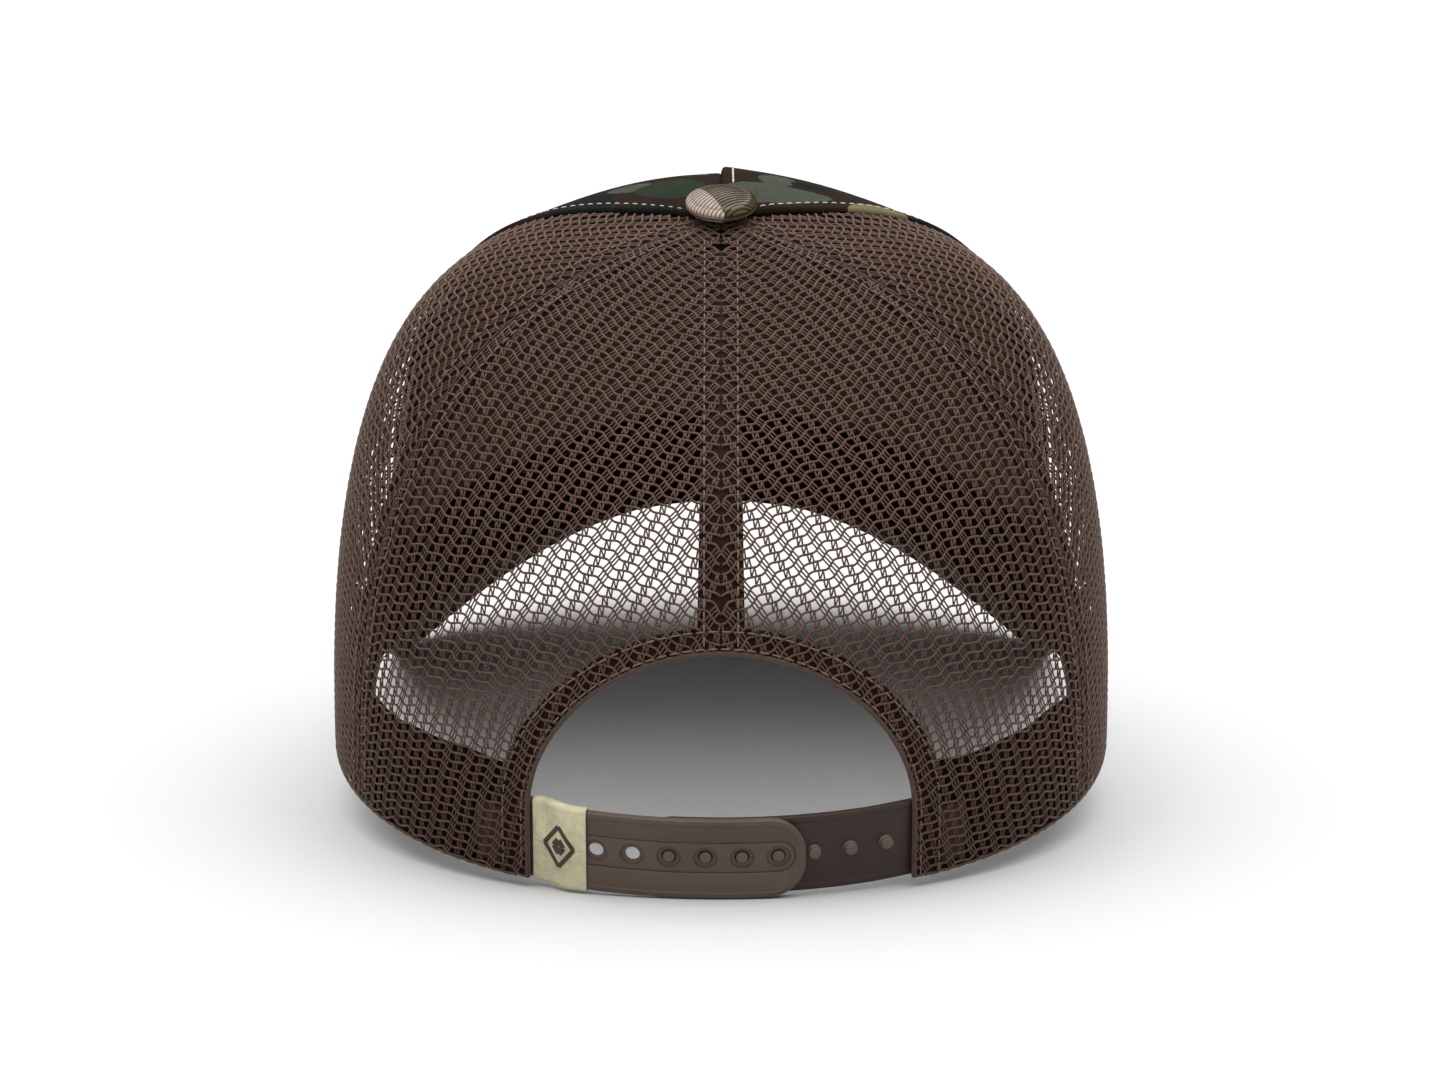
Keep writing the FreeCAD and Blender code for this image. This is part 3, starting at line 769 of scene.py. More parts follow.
def arch_curve(side, top):
    """Outline round the rear opening from its right tail to its left, grown by side and top."""
    half, rise = ARCH_HALF_WIDTH + side, ARCH_RISE + top
    straight = np.linspace(0.4, ARCH_STRAIGHT, 18)[:-1]
    bend = np.linspace(0, math.pi, 130)
    right = np.stack([np.full_like(straight, -half), straight], axis=1)
    arc = np.stack([-half * np.cos(bend), ARCH_STRAIGHT + rise * np.sin(bend)], axis=1)
    left = np.stack([np.full_like(straight, half), straight[::-1]], axis=1)
    return np.concatenate([right, arc, left])


def arch_path(side, top, depth):
    """Path round the rear opening in metres, and its directions out of the cloth."""
    curve = arch_curve(side, top)
    level, up = at_rear(curve[:, 0], curve[:, 1], depth)
    return standing(level), leaned(up)


def add_arch_binding():
    """Tape that binds the rear opening, its two rows of stitches and the roll at its edge."""
    shares = np.linspace(0, 1, 6)
    curves = np.stack([arch_curve(BINDING_SIDE * s, BINDING_TOP * s) for s in shares], axis=1)
    layers = [standing(at_rear(curves[..., 0], curves[..., 1], d)[0]) for d in (0.95, 1.6)]
    run = np.linspace(0, 190, curves.shape[0])
    uv = np.stack(np.broadcast_arrays(run[:, None], shares[None, :] * 6.0), axis=-1)
    new_sheet("arch_binding_cloth", layers, uv, brown_tape, "arch_binding")
    rows = [stitch_row(*arch_path(BINDING_SIDE * share, BINDING_TOP * share, 0.05), *ARCH_STITCH)
            for share in (0.20, 0.82)]
    new_piece("arch_stitches", joined(rows), brown_thread)
    path, up = arch_path(0.25, 0.25, 0.75)
    roll = tubes(path[None], up[None], 0.00055, 8, flat=1.3)
    new_piece("arch_edge_roll", roll, brown_tape_plain)


def add_hem_yarn():
    """Cast-off yarn that closes the net's lower edge on each side of the rear opening."""
    azimuth = np.linspace(NET_TAIL, FRONT_SEAM - 0.3, 900)
    height = 0.40 + 0.08 * np.sin(azimuth * 3.1) + 0.05 * np.sin(azimuth * 7.7)
    new_pair("hem_yarn", crown_yarn(azimuth, height, 0.42, HEM_YARN_R, 6), net_yarn)


def add_seam_folds():
    """Net folded in at the rear seams: two thin rolls that meet along each, just under the net."""
    height = np.linspace(0.4, float(panel_length(REAR_SEAM)) - 3.5, 160)
    rolls = [crown_yarn(across_seam(REAR_SEAM, height, offset), height,
                        0.62 + 0.06 * np.sin(height * 1.9 + offset), 0.20, 6)
             for offset in (-0.36, 0.36)]
    new_pair("rear_seam_fold", joined(rolls), net_yarn)


def add_overlock():
    """Cream zigzag that closes the raw edge inside each front and side seam, in two lengths."""
    meshes = []
    for start, end in ((40.0, 76.0), (90.0, 104.0)):
        turns = np.arange(int((end - start) / OVERLOCK_STEP))
        height = np.repeat(start + turns * OVERLOCK_STEP, 3)[1:-1]
        swing = np.tile([-0.95, 0.0, 0.95], len(turns))
        swing = (swing * np.repeat(1 - 2 * (turns % 2), 3))[1:-1]
        azimuth = across_seam(FRONT_SEAM, height, swing - 3.5)
        meshes.append(crown_yarn(azimuth, height, 2.55, 0.12, 5))
    new_pair("overlock", joined(meshes), cream_thread)


def crown_band(name, node, azimuths, heights, depths, ripple=0.0, flare=0.0):
    """Sheet of the sweatband's cloth round part of the crown.

    heights are of its lower and upper edge, and depths of its outer and inner face. ripple makes
    its free edge uneven, and flare brings its lower edge out towards the hem."""
    az, share = (grid.T for grid in np.meshgrid(azimuths, np.linspace(0, 1, 11)))
    height = heights[0] + (heights[1] - heights[0]) * share
    height += ripple * (share ** 3 * np.sin(az * 0.21) + 0.5 * share ** 2 * np.sin(az * 0.57))
    wave = ripple * 0.35 * share * np.sin(az * 0.33 + 1.0) - flare * np.clip(1 - share * 10, 0, 1)
    layers = crown_layers(az, height, [depth + wave for depth in depths])
    uv = np.stack([az * 1.6, height], axis=-1)
    return new_sheet(name, layers, uv, sweat_cloth, node), layers[0]


def round_front(start, count):
    """Azimuths from start on the left, round the front, to the same place on the right."""
    return np.concatenate([np.linspace(start, 180, count), np.linspace(-180, -start, count)[1:]])


def add_inner_bands():
    """Sweatband from tail to tail of the rear opening, its padding and its stitches."""
    band, laid = crown_band("sweatband_cloth", "sweatband", round_front(BAND_TAIL, 150),
                            (0.15, SWEATBAND_HEIGHT), (3.0, 3.9), 0.4, 1.9)
    foam, _ = crown_band("sweatband_pad", "sweatband_padding", round_front(114, 50), (3.0, 23.0),
                         (2.0, 2.8))
    azimuth = around(np.linspace(BAND_TAIL + 1, 360 - BAND_TAIL - 1, 900))
    rows = []
    for height in (2.2, SWEATBAND_HEIGHT - 2.4):
        path, up = crown_path(azimuth, height, 3.95)
        rows.append(stitch_row(path, -up, *BAND_STITCH))
    stitches = new_piece("sweatband_stitches", joined(rows), brown_thread)


add_tape("side_rear_seam_tape", REAR_SEAM, 0.8, NET_TAPE)
add_tape("front_side_seam_tape", FRONT_SEAM, 0.8, (1.75, 2.4))
middle_tape, middle_cloth = add_tape("centre_rear_seam_tape", 0, ARCH_STRAIGHT + ARCH_RISE + 6.0,
                                     NET_TAPE, low_half=5.2)
add_tape("centre_front_seam_tape", 180, SWEATBAND_HEIGHT + 2.0, (1.9, 2.5))
add_arch_binding()
add_hem_yarn()
add_inner_bands()
add_seam_folds()
add_overlock()
beside_rear_seam = seam_stitches(REAR_SEAM, (-3.3, 3.3), 0.8, panel_length(REAR_SEAM) - 10)
new_pair("rear_seam_stitches", beside_rear_seam, brown_thread)
beside_middle = seam_stitches(0.0, (-3.7, 3.7), ARCH_STRAIGHT + ARCH_RISE + 3, panel_length(0) - 11)
new_piece("centre_seam_stitches_middle", beside_middle, brown_thread)


# ---------------------------------------------------------------- front panels

FRONT_ROWS = 90


def front_grid(side):
    """Columns of one front panel from its side seam to the centre, finer at both edges."""
    edge = np.array([0.0, 0.12, 0.3, 0.55, 0.9, 1.4, 2.1, 3.0])
    first, last = FRONT_SEAM + 0.1, 180.0 + (0.25 if side < 0 else -0.05)
    middle = np.linspace(first + 4.4, last - 4.4, 40)
    return np.concatenate([first + edge, middle, (last - edge)[::-1]])


def raised_edge(distance, rise, reach):
    """Lift of cloth at a distance from its edge: it rises round the fold and fades inward."""
    return rise * (1 - np.exp(-distance / 0.35)) * np.exp(-distance / reach)


def front_lift(side, run, to_centre, left_over, height):
    """How far a front panel stands out of the crown: folded over the net, lapped at the centre."""
    lap, reach = (1.9, 13.0) if side < 0 else (0.25, 4.0)
    lift = raised_edge(run, 0.75, 6.0) + raised_edge(to_centre, lap, reach)
    lift = lift * np.clip(left_over / 12.0, 0.35, 1)
    return lift + 0.12 * np.sin(run * 0.21 + height * 0.05) * np.sin(height * 0.09)


def front_cloth(side):
    """Azimuths and heights of a grid on one front panel, and how far it runs from the side seam."""
    azimuth = front_grid(side)[:, None]
    height = np.linspace(0, 1, FRONT_ROWS)[None, :] * (panel_length(azimuth) - APEX_HOLE)
    azimuth = azimuth + 0 * height
    flat, _ = on_crown(azimuth, height)
    steps = np.linalg.norm(np.diff(flat, axis=0), axis=2)
    return azimuth, height, np.concatenate([np.zeros((1, FRONT_ROWS)), np.cumsum(steps, axis=0)])


def add_front_panel(name, side):
    """Twill panel with a folded edge over the net; the right one laps the left at the centre."""
    azimuth, height, run = front_cloth(side)
    to_centre = run[-1] - run
    lift = front_lift(side, run, to_centre, panel_length(azimuth) - height, height)
    edge = np.exp(-np.minimum(run, to_centre) / 0.25) * 0.25
    layers = crown_layers(azimuth, height, (-lift + edge, 0.75 - lift * 0.9))
    piece = new_sheet(f"front_twill_{name}", layers, np.stack([run, height], axis=-1), camo_twill,
                      f"front_panel_{name}", side)


def front_row(side, from_side=None, from_centre=None, end_gap=12.0):
    """Path of a stitch row on a front panel, a distance from its side seam or from the centre."""
    seam, offset = (180.0, -from_centre) if from_side is None else (FRONT_SEAM, from_side)
    height = np.linspace(2.0, float(panel_length(seam)) - end_gap, 260)
    if from_side is None:
        degree = on_crown(seam - 1, height)[0] - on_crown(seam, height)[0]
        turned = seam + offset / np.linalg.norm(degree, axis=-1)
    else:
        turned = across_seam(seam, height, offset)
    length = panel_length(turned)
    width = np.interp(height / (length - APEX_HOLE), np.linspace(0, 1, FRONT_ROWS),
                      front_cloth(side)[2][-1])
    run = width - from_centre if from_side is None else from_side
    stand = front_lift(side, run, width - run, length - height, height)
    path, up = crown_path(turned, height, -0.03 - stand)
    return path * (side, 1, 1), up * (side, 1, 1)


def add_front_stitches():
    """Rows beside the side seams, and a heavier one beside the lap at the centre."""
    rows = [stitch_row(*front_row(side, from_side=5.0), *FRONT_STITCH) for _, side in SIDES]
    rows.append(stitch_row(*front_row(-1, from_centre=2.7, end_gap=11.0), *LAP_STITCH))
    new_piece("front_stitches", joined(rows), pale_thread)


def add_buckram(name, side):
    """Stiffener behind a front panel."""
    azimuth = np.linspace(FRONT_SEAM + 0.4, 179.6, 40)[:, None]
    share = np.linspace(0, 1, 50)[None, :]
    height = 0.6 + share * (panel_length(azimuth) - APEX_HOLE - 0.6)
    azimuth = azimuth + 0 * height
    layers = crown_layers(azimuth, height, (0.95, 1.5))
    piece = new_sheet(f"front_stiffener_{name}", layers, np.stack([azimuth * 1.5, height], axis=-1),
                      buckram_cloth, f"front_buckram_{name}", side)


for panel_name, panel_side in SIDES:
    add_front_panel(panel_name, panel_side)
add_front_stitches()
for panel_name, panel_side in SIDES:
    add_buckram(panel_name, panel_side)


# ---------------------------------------------------------------- button

def on_button(radius, height, turn):
    """Points at a radius, height and turn about the button's axis, on top of the crown."""
    x, y = radius * np.cos(turn), radius * np.sin(turn)
    z = height + BUTTON_LIFT
    cos, sin = math.cos(BUTTON_LEAN), math.sin(BUTTON_LEAN)
    leant = [x, y * cos + z * sin + APEX_Y, z * cos - y * sin + CROWN_HEIGHT]
    return standing(np.stack(leant, axis=-1))


def add_button():
    """Domed disc under ribbed cloth, its cords bent round a far centre, and the edge's shadow."""
    sectors = 256
    share = np.linspace(0.004, 1, 110)[:, None]
    turn = np.linspace(0, 2 * math.pi, sectors, endpoint=False)[None, :]
    out, up = np.sin(share * math.pi / 2), np.cos(share * math.pi / 2)
    across = -np.hypot(BUTTON_R * out * np.cos(turn) - CORD_CENTRE[0],
                       BUTTON_R * out * np.sin(turn) - CORD_CENTRE[1])
    rib = 0.17 * np.abs(np.sin(math.pi * across / BUTTON_CORD)) ** 0.7
    rib *= np.clip(1.02 - share ** 20, 0, 1)
    dome = on_button((BUTTON_R + rib) * out, (BUTTON_TOP + rib) * up, turn)
    belly = np.linspace(0, 1, 10)[1:, None]
    under = on_button(BUTTON_R - (BUTTON_R - BUTTON_BASE_R) * belly ** 1.8,
                      BUTTON_BASE * np.sin(belly * math.pi / 2), turn)
    rim = np.linspace(0, 1, 8)[1:, None]
    floor = on_button(BUTTON_BASE_R * (1 - rim * 0.985), BUTTON_BASE, turn)
    points = np.concatenate([dome, under, floor])
    spare = np.zeros((len(under) + len(floor), sectors))
    uv = np.stack([np.concatenate([across, spare]) + BUTTON_CORD / 4] * 2, axis=-1)
    new_piece("button_cord", (points, lathe_faces(len(points), sectors)), button_cloth,
              "button_cover", uv)
    # painted shadow: a dark thread ring round the foot of the button's edge
    ring = on_button(BUTTON_R - 0.32, -0.62, np.linspace(0, 2 * math.pi, 97))
    upward = np.broadcast_to([0.0, 0.0, 1.0], ring.shape)
    edge = tubes(ring[None], upward[None], 0.00036, 10)
    new_piece("button_edge_painted_shadow", edge, mark_and_shadow_thread)
    recolour(("button_shell", "button_rivet", "button_backing"), pressed_metal)


add_button()


# ---------------------------------------------------------------- snap strap

def plan_normal(azimuth):
    """Level outward direction of the hem."""
    across = level_crown(azimuth + 0.2, 0 * azimuth) - level_crown(azimuth - 0.2, 0 * azimuth)
    normal = np.stack([-across[..., 1], across[..., 0], 0 * azimuth], axis=-1)
    return normal / np.linalg.norm(normal, axis=-1, keepdims=True)


def on_strap(x, depth, z, free_depth):
    """Level point and normal of a strap half, depth inward from its own outer face."""
    x, depth, z = np.broadcast_arrays(np.asarray(x, float), depth, z)
    grid = np.linspace(-89, 89, 1781)
    azimuth = np.interp(x, level_crown(grid, 0 * grid)[:, 0], grid)
    base = POCKET_DEPTH + (free_depth - POCKET_DEPTH) * smooth(STRAP_X - np.abs(x), 0.0, 7.0)
    normal = plan_normal(azimuth)
    level = level_crown(azimuth, 0 * azimuth) - normal * (base + depth)[..., None]
    return level + np.stack([0 * z, 0 * z, z], axis=-1), normal


def patches_to_slab(patches, relief, back, free_depth):
    """Closed slab from flat patches of (x, z) points: relief moves the outer face outward."""
    points, quads, start = [], [], 0
    for x, z in patches:
        rows, columns = x.shape
        points.append(np.stack([x.ravel(), z.ravel()], axis=1))
        quads += grid_faces(rows, columns, start)
        start += rows * columns
    points = np.concatenate(points)
    _, first, same = np.unique(np.round(points, 4), axis=0, return_index=True, return_inverse=True)
    flat = points[first]
    quads = same.ravel()[np.array(quads)]
    corner = flat[quads]
    edge_a, edge_b = corner[:, 1] - corner[:, 0], corner[:, 2] - corner[:, 0]
    turned = edge_a[:, 0] * edge_b[:, 1] - edge_a[:, 1] * edge_b[:, 0] > 0
    quads[turned] = quads[turned][:, ::-1]
    count = len(flat)
    outer, _ = on_strap(flat[:, 0], -relief(flat[:, 0], flat[:, 1]), flat[:, 1], free_depth)
    inner, _ = on_strap(flat[:, 0], np.full(count, back), flat[:, 1], free_depth)
    sides = np.concatenate([quads[:, [k, (k + 1) % 4]] for k in range(4)])
    forward = {(int(a), int(b)) for a, b in sides}
    open_sides = [(a, b) for a, b in forward if (b, a) not in forward and a != b]
    faces = quads.tolist() + (quads[:, ::-1] + count).tolist()
    faces += [[b, a, a + count, b + count] for a, b in sorted(open_sides)]
    return standing(np.concatenate([outer, inner])), faces


def strap_holes():
    """Places of the holes: one over each peg in reach, and two more towards the root."""
    pegs = [FIRST_PEG_X + PEG_PITCH * k for k in range(PEG_COUNT)]
    engaged = [x for x in pegs if x > FEMALE_END_X]
    return engaged + [engaged[-1] + PEG_PITCH, engaged[-1] + 2 * PEG_PITCH]


def female_inset(x, z):
    """Distance in from the holed half's outline, whose free end is rounded."""
    beyond = np.maximum(FEMALE_END_X + FEMALE_CORNER - x, 0)
    above = np.maximum(np.abs(z - STRAP_HEIGHT / 2) - (STRAP_HEIGHT / 2 - FEMALE_CORNER), 0)
    return FEMALE_CORNER - np.hypot(beyond, above)


def female_relief(x, z):
    """Raised rim, two channel grooves that close round the last hole, and a ring at each hole."""
    inset = female_inset(x, z)
    height = -0.24 * smooth(inset, 1.15, 1.5)
    height -= 0.22 * np.clip(1 - inset / 0.3, 0, 1) ** 2
    holes = np.array(strap_holes())
    channel = np.hypot(np.minimum(x - holes[0], 0), z - STRAP_MID)
    height -= 0.34 * np.exp(-((channel - CHANNEL_HALF) / 0.17) ** 2)
    height -= 0.06 * smooth(-channel, -CHANNEL_HALF, -CHANNEL_HALF + 0.2)
    ring = np.hypot(x[..., None] - holes, (z - STRAP_MID)[..., None]).min(axis=-1)
    height += 0.07 * np.exp(-((ring - RING_R - 0.28) / 0.14) ** 2)
    height += (-0.85 - height) * smooth(-ring, -RING_R - 0.08, -RING_R + 0.10)
    return height - 0.12 * smooth(-ring, -BORE_R - 0.25, -BORE_R)


def hole_radii():
    """Radii of the rings of points round a hole, close together at each change of height."""
    return np.concatenate([BORE_R + np.array([0.0, 0.08, 0.25, 0.4]),
                           RING_R + np.array([-0.1, -0.02, 0.06, 0.16, 0.28, 0.42, 0.6])])


def hole_patch(centre, outline):
    """Rings of points round a hole, from its bore out to an outline (x, z) about its centre."""
    turn = np.arctan2(outline[1], outline[0])
    circle = np.stack([np.cos(turn), np.sin(turn)])
    rings = [circle * r for r in hole_radii()]
    rings += [(rings[-1] + outline) / 2, outline]
    points = np.stack(rings)
    return points[:, 0] + centre, points[:, 1] + STRAP_MID


def female_patches():
    """Patches that cover the holed half: round each hole, round its free end, and in bands."""
    half_x, half_z = PEG_PITCH / 2, CHANNEL_HALF - 0.25
    holes = strap_holes()
    wide, tall = np.linspace(-half_x, half_x, 13), np.linspace(-half_z, half_z, 13)
    right = np.array([[half_x] * 13, tall])
    top = np.array([wide[::-1], [half_z] * 13])
    square = np.concatenate([right, top[:, 1:], -right[:, 1:], -top[:, 1:]], axis=1)
    half_square = np.concatenate([-top[:, 6:], right[:, 1:], top[:, 1:7]], axis=1)
    patches = [hole_patch(x, square) for x in holes[1:]] + [hole_patch(holes[0], half_square)]

    groove = half_z + np.array([0.0, 0.1, 0.18, 0.26, 0.34, 0.42, 0.6])
    rim = np.array([1.55, 1.42, 1.3, 1.18, 1.0, 0.5, 0.3, 0.2, 0.1, 0.0])
    turn = np.linspace(math.pi / 2, 3 * math.pi / 2, 37)
    reach = np.full(turn.shape, 5.0)
    for _ in range(40):
        edge_x, edge_z = holes[0] + reach * np.cos(turn), STRAP_MID + reach * np.sin(turn)
        reach += 0.7 * female_inset(edge_x, edge_z)
    radii = np.concatenate([hole_radii(), [(hole_radii()[-1] + half_z) / 2], groove])
    rays = np.concatenate([np.repeat(radii[:, None], len(turn), axis=1), reach - rim[:, None]])
    patches.append((holes[0] + rays * np.cos(turn), STRAP_MID + rays * np.sin(turn)))

    x = holes[0] + PEG_PITCH * np.arange(0, 67) / 12
    x = np.concatenate([x, np.linspace(x[-1], STRAP_ROOT, 18)[1:]])
    beyond = np.maximum(FEMALE_END_X + FEMALE_CORNER - x, 0)
    half_height = STRAP_HEIGHT / 2 - FEMALE_CORNER + np.sqrt(FEMALE_CORNER ** 2 - beyond ** 2)
    for sign in (1, -1):
        edge = sign * (STRAP_HEIGHT / 2 - STRAP_MID) + half_height
        lines = np.concatenate([np.repeat(groove[:, None], len(x), axis=1), edge - rim[:, None]])
        patches.append((np.repeat(x[None, :], len(lines), axis=0), STRAP_MID + sign * lines))
    plain = x[x >= holes[-1] + half_x - 1e-6]
    patches.append(tuple(np.meshgrid(plain, STRAP_MID + tall)))
    return patches


def flex_line(side):
    """Two points on a strap half near its root, where it would bend; they are worked out and not
    used.
    """
    sign = 1 if side == "female" else -1
    depth = FEMALE_DEPTH if side == "female" else MALE_DEPTH
    ends = [on_strap(sign * x, 0.6, STRAP_MID, depth)[0] for x in (36.6, 41.4)]
    return [tuple(float(c) for c in standing(end)) for end in ends]


def add_female_strap():
    """Holed half of the strap."""
    mesh = patches_to_slab(female_patches(), female_relief, FEMALE_THICK, FEMALE_DEPTH)
    new_piece("strap_holed_half", mesh, strap_plastic, "strap_female",
              strap="female", sharp=40)


def male_relief(x, z):
    """Raised middle inside a plain border, and an edge that is rounded off."""
    beyond = np.maximum(x - (MALE_END_X - MALE_CORNER), 0)
    above = np.abs(z - STRAP_HEIGHT / 2) - (STRAP_HEIGHT / 2 - MALE_SLIM - MALE_CORNER)
    inset = MALE_CORNER - np.hypot(beyond, np.maximum(above, 0))
    return -0.2 * smooth(inset, 1.25, 1.7) - 0.2 * np.clip(1 - inset / 0.3, 0, 1) ** 2


def peg_mesh(x):
    """Round peg with a softly rounded tip and a fillet at its foot."""
    profile = ((0.3, -0.3), (0.22, 0.0), (0.06, 0.12), (0.0, 0.35), (-0.03, 1.12), (-0.10, 1.24),
               (-0.28, 1.31), (-0.6, 1.33))
    turn = np.linspace(0, 2 * math.pi, 33)[:-1]
    radius, out = np.array(profile).T[..., None]
    radius = radius + PEG_R
    points, _ = on_strap(x + radius * np.cos(turn), -out, STRAP_MID + radius * np.sin(turn),
                         MALE_DEPTH)
    return standing(points.reshape(-1, 3)), lathe_faces(len(profile), len(turn))


def add_male_strap():
    """Pegged half of the strap, and its pegs."""
    bend = np.sin(np.linspace(0, math.pi / 2, 22))
    straight_end = MALE_END_X - MALE_CORNER
    x = np.concatenate([np.linspace(-STRAP_ROOT, straight_end, 90),
                        straight_end + MALE_CORNER * bend[1:-1], [MALE_END_X - 0.002]])
    beyond = np.maximum(x - straight_end, 0)
    half = STRAP_HEIGHT / 2 - MALE_SLIM - MALE_CORNER + np.sqrt(MALE_CORNER ** 2 - beyond ** 2)
    inset = np.array([0.0, 0.1, 0.2, 0.3, 0.7, 1.2, 1.35, 1.5, 1.65, 1.9])
    between = (half - inset[-1]) * np.linspace(-1, 1, 16)[1:-1, None]
    lines = np.concatenate([inset[:, None] - half, between, half - inset[::-1, None]])
    patch = (np.repeat(x[None, :], len(lines), axis=0), STRAP_HEIGHT / 2 + lines)
    bar = patches_to_slab([patch], male_relief, MALE_THICK, MALE_DEPTH)
    # painted shade: the pegged half takes the darker copy of the strap's plastic
    new_piece("strap_pegged_half", bar, shaded_plastic, "strap_male",
              strap="male", sharp=40)
    pegs = joined([peg_mesh(FIRST_PEG_X + PEG_PITCH * k) for k in range(PEG_COUNT)])
    # painted highlight: the pegs take the lighter copy of the plastic
    new_piece("strap_pegs", pegs, peg_plastic_painted_highlight, strap="male", sharp=40)


def loop_outline(half_depth, half_height, corner, count=140):
    """Rounded rectangle round the strap's section, as (depth, height) pairs, and its run."""
    turn = np.linspace(0, 2 * math.pi, count, endpoint=False)
    round_it = np.stack([np.cos(turn), np.sin(turn)], axis=1)
    straight = np.sign(round_it) * (half_depth - corner, half_height - corner) + corner * round_it
    closed = np.concatenate([straight, straight[:1]])
    run = run_along(closed)
    places = np.linspace(0, run[-1], count, endpoint=False)
    return along_path(closed, run, places), places


def diamond_threads(middle):
    """Satin threads of a diamond and a smaller one inside it, on the label's outer face."""
    threads = []
    for half_x, half_z, width in ((3.5, 4.9, 0.9), (1.1, 1.6, 1.4)):
        corners = [(half_x, 0), (0, half_z), (-half_x, 0), (0, -half_z), (half_x, 0)]
        for (x0, z0), (x1, z1) in zip(corners, corners[1:]):
            length = math.hypot(x1 - x0, z1 - z0)
            count = int(length / THREAD_PITCH)
            share = (np.arange(count)[:, None] + 0.5) / count
            t = np.linspace(-0.5, 0.5, 5) * width
            x = sum(LABEL_X) / 2 + x0 + (x1 - x0) * share - (z1 - z0) / length * t
            z = STRAP_HEIGHT / 2 + z0 + (z1 - z0) * share + (x1 - x0) / length * t
            lift = 0.07 * (1 - (2 * t / width) ** 4)
            level, up = on_strap(x, middle - LABEL_OUTER[0] - lift - 0.02, z, FEMALE_DEPTH)
            threads.append(tubes(standing(level), leaned(up), 0.00014, 6))
    return joined(threads)


def add_label():
    """Woven loop round the holed half, with a plain diamond sewn on its face."""
    x = np.linspace(*LABEL_X, 36)[:, None]
    middle = FEMALE_THICK / 2 + 0.05
    (outer, run), (inner, _) = loop_outline(*LABEL_OUTER), loop_outline(*LABEL_INNER)
    puff = 0.10 * np.sin(x * 1.3) * np.cos(run / 9.0)[None, :]

    def ring(outline):
        level, _ = on_strap(x, middle - outline[None, :, 0] * (1 + puff * 0.2),
                            STRAP_HEIGHT / 2 + 0.05 + outline[None, :, 1], FEMALE_DEPTH)
        return standing(level).reshape(-1, 3)

    count, total = len(run), len(x) * len(run)
    k = np.arange(count)
    after = (k + 1) % count
    quads = []
    for a in range(0, total - count, count):
        b = a + count
        quads += [(a + k, a + after, b + after, b + k),
                  (total + a + k, total + b + k, total + b + after, total + a + after)]
    end = total - count
    quads += [(k, total + k, total + after, after),
              (end + k, end + after, total + end + after, total + end + k)]
    faces = np.concatenate([np.stack(quad, axis=1) for quad in quads]).tolist()
    uv = np.stack(np.broadcast_arrays(x, run[None, :]), axis=-1)
    vertices = np.concatenate([ring(outer), ring(inner)])
    piece = new_piece("label_loop", (vertices, faces), label_weave, "woven_label",
                      np.concatenate([uv, uv]), "female", 60)
    mark = new_piece("label_diamond", diamond_threads(middle), mark_and_shadow_thread,
                     strap="female")


add_female_strap()
add_male_strap()
add_label()
recolour(("strap_anchor_left", "strap_anchor_right"), brown_tape_plain)


# ---------------------------------------------------------------- brim

def brim_hem(a):
    """Inner edge of half of the brim in millimetres, from a = 0 at the middle to 1 at its end."""
    azimuth = 180 - (180 - BRIM_START) * a
    foot = level_crown(azimuth, 0 * azimuth) + plan_normal(azimuth) * BRIM_HEM_AIR
    return standing(foot + np.array([0, 0, BRIM_HEM_LIFT])) * 1000


def brim_rim(a):
    """Outer edge: an ellipse in plan, bent down at the sides and sloping forward."""
    corner = brim_hem(np.array([1.0]))[0] - np.array([0, SHIFT_Y, 0])
    end = math.pi - math.asin((corner[0] + BRIM_CORNER) / BRIM_HALF_WIDTH)
    back_reach = (BRIM_WIDE_Y - corner[1]) / math.cos(end)
    turn = end * a
    reach = np.where(np.cos(turn) > 0, BRIM_REACH, back_reach)
    y = BRIM_WIDE_Y - reach * np.cos(turn)
    ahead = y - (BRIM_WIDE_Y - BRIM_REACH)
    z = BRIM_FRONT_Z + ahead * math.tan(BRIM_SLOPE) - BRIM_DROP * np.sin(turn) ** 2
    return np.stack([BRIM_HALF_WIDTH * np.sin(turn), y + SHIFT_Y, z], axis=-1)


def along_edge(edge, u):
    """Points at a share of an edge's length, from -1 at the right corner to 1 at the left one."""
    points = edge(np.linspace(0, 1, 401))
    run = run_along(points)
    found = along_path(points, run, np.abs(u) * run[-1])
    found[..., 0] *= np.sign(u)
    return found


def brim_grid(u, w):
    """Middle surface of the brim in metres, and its upward normal."""
    hem, rim = along_edge(brim_hem, u), along_edge(brim_rim, u)
    points = hem[:, None] + (rim - hem)[:, None] * w[None, :, None]
    normal = np.cross(np.gradient(points, axis=1), np.gradient(points, axis=0))
    normal /= np.linalg.norm(normal, axis=-1, keepdims=True)
    normal *= np.sign(normal[..., 2:3] + 1e-9)
    return points * 0.001, normal


def add_brim_cloth(name, node, low, high, material):
    """Cloth over or under the brim's board, between two distances from the brim's middle."""
    points, normal = brim_grid(np.linspace(-1, 1, 161), np.linspace(0, 1, 44))
    layers = [points + normal * offset * 0.001 for offset in (high, low)]
    across = np.linalg.norm(points - points[:, :1], axis=-1)
    uv = np.stack(np.broadcast_arrays(run_along(points[:, 20])[:, None], across), axis=-1) * 1000
    piece = new_sheet(name, layers, uv, material, node)


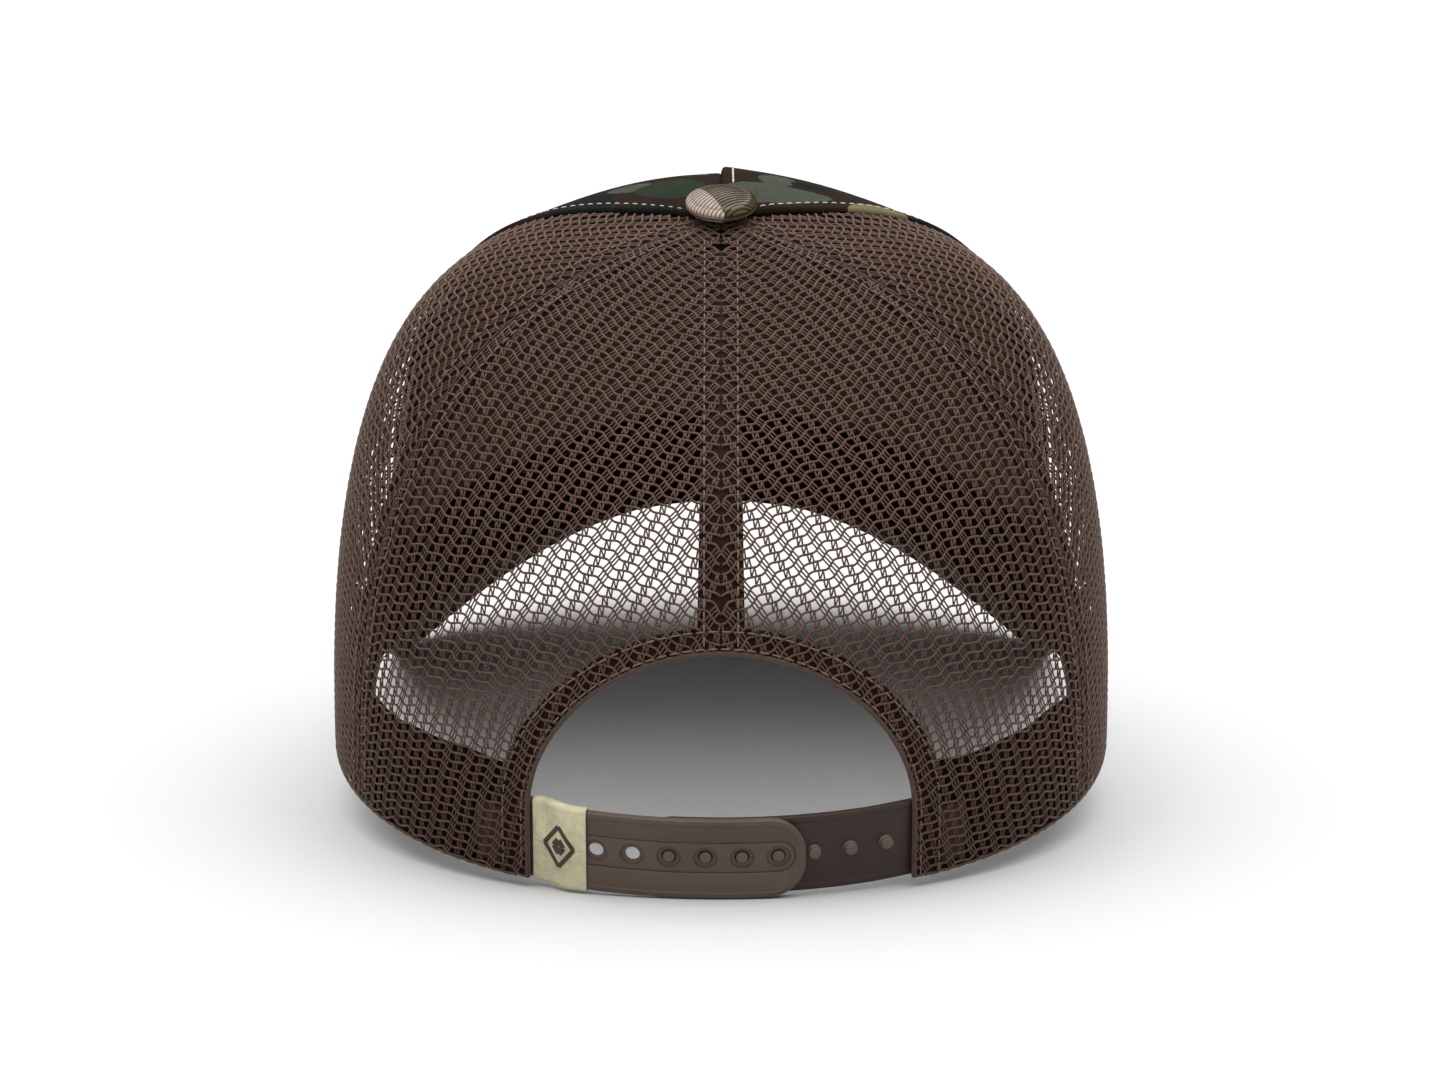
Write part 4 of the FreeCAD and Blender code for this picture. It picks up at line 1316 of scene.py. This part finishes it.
def add_brim_stitches(name, side, thread):
    """Rows of stitches that follow the rim, over the brim if side is 1 and under it if -1."""
    u = np.linspace(-0.97, 0.97, 400)
    hem, rim = along_edge(brim_hem, u), along_edge(brim_rim, u)
    reach = np.linalg.norm(rim - hem, axis=-1)
    rows = []
    for inset in BRIM_STITCH_INSETS:
        held = reach > inset + 4.0
        _, normal = brim_grid(u[held], np.array([0.0, 0.5, 1.0]))
        w = (1 - inset / reach[held])[:, None]
        path = hem[held] * (1 - w) + rim[held] * w + normal[:, 1] * BRIM_FACE * side
        rows.append(stitch_row(path * 0.001, normal[:, 1] * side, *BRIM_STITCH))
    new_piece(name, joined(rows), thread)


def add_brim():
    """Cloth, stitches and folded rim of the brim, and its board's colour."""
    add_brim_cloth("brim_top_twill", "brim_top_cloth", 1.0, BRIM_FACE, camo_twill)
    add_brim_cloth("brim_under_twill", "brim_under_cloth", -BRIM_FACE, -1.0, charcoal_cloth)
    add_brim_stitches("brim_top_stitches", 1, brown_thread)
    add_brim_stitches("brim_under_stitches", -1, charcoal_thread)
    u = np.linspace(-1, 1, 400)
    _, normal = brim_grid(u, np.array([0.0, 0.5, 1.0]))
    fold = tubes(along_edge(brim_rim, u)[None] * 0.001, normal[None, :, 2], 0.00125, 14, flat=1.42)
    new_piece("brim_rim_fold", fold, camo_twill_plain, "brim_edge_fold")
    recolour(("brim_board",), visor_board)


add_brim()


# ---------------------------------------------------------------- camera, light and floor

def add_object(name, data):
    """Object of the studio, linked to the scene."""
    made = bpy.data.objects.new(name, data)
    bpy.context.scene.collection.objects.link(made)
    return made


def build_studio():
    """Camera behind the cap, a white backdrop that lights it dimly, a wide sun and a pale floor."""
    scene = bpy.context.scene
    scene.view_settings.view_transform = "Standard"
    scene.camera = camera = add_object("camera", bpy.data.cameras.new("camera"))
    camera.location = CAMERA_PLACE
    camera.rotation_euler = (math.radians(90 - CAMERA_DOWN), 0.0, math.pi)
    camera.data.lens, camera.data.sensor_width = FOCAL_LENGTH, 36.0
    camera.data.shift_x, camera.data.clip_start = 0.001, 0.01
    scene.world = world = bpy.data.worlds.new("studio")
    world.use_nodes = True
    nodes, links = world.node_tree.nodes, world.node_tree.links
    backdrop, seen = nodes["Background"], nodes.new("ShaderNodeLightPath")
    backdrop.inputs["Color"].default_value = (1.0, 1.0, 1.0, 1.0)
    strength = nodes.new("ShaderNodeMapRange")
    strength.inputs["To Min"].default_value = SKY_LIGHT
    links.new(seen.outputs["Is Camera Ray"], strength.inputs["Value"])
    links.new(strength.outputs["Result"], backdrop.inputs["Strength"])
    lamp = bpy.data.lights.new("overhead", "SUN")
    lamp.angle, lamp.energy = math.radians(SUN_WIDTH), SUN_ENERGY
    add_object("overhead", lamp).rotation_euler = (math.radians(3), 0.0, 0.0)
    mesh = bpy.data.meshes.new("floor")
    mesh.from_pydata([(-6, -6, 0), (6, -6, 0), (6, 6, 0), (-6, 6, 0)], [], [(0, 1, 2, 3)])
    grey = (FLOOR_GREY, FLOOR_GREY, FLOOR_GREY, 1.0)
    mesh.materials.append(Shader("pale_floor", grey, 0.9, 0.1).material)
    floor = add_object("floor", mesh)
    floor.location.z = -0.0002


build_studio()
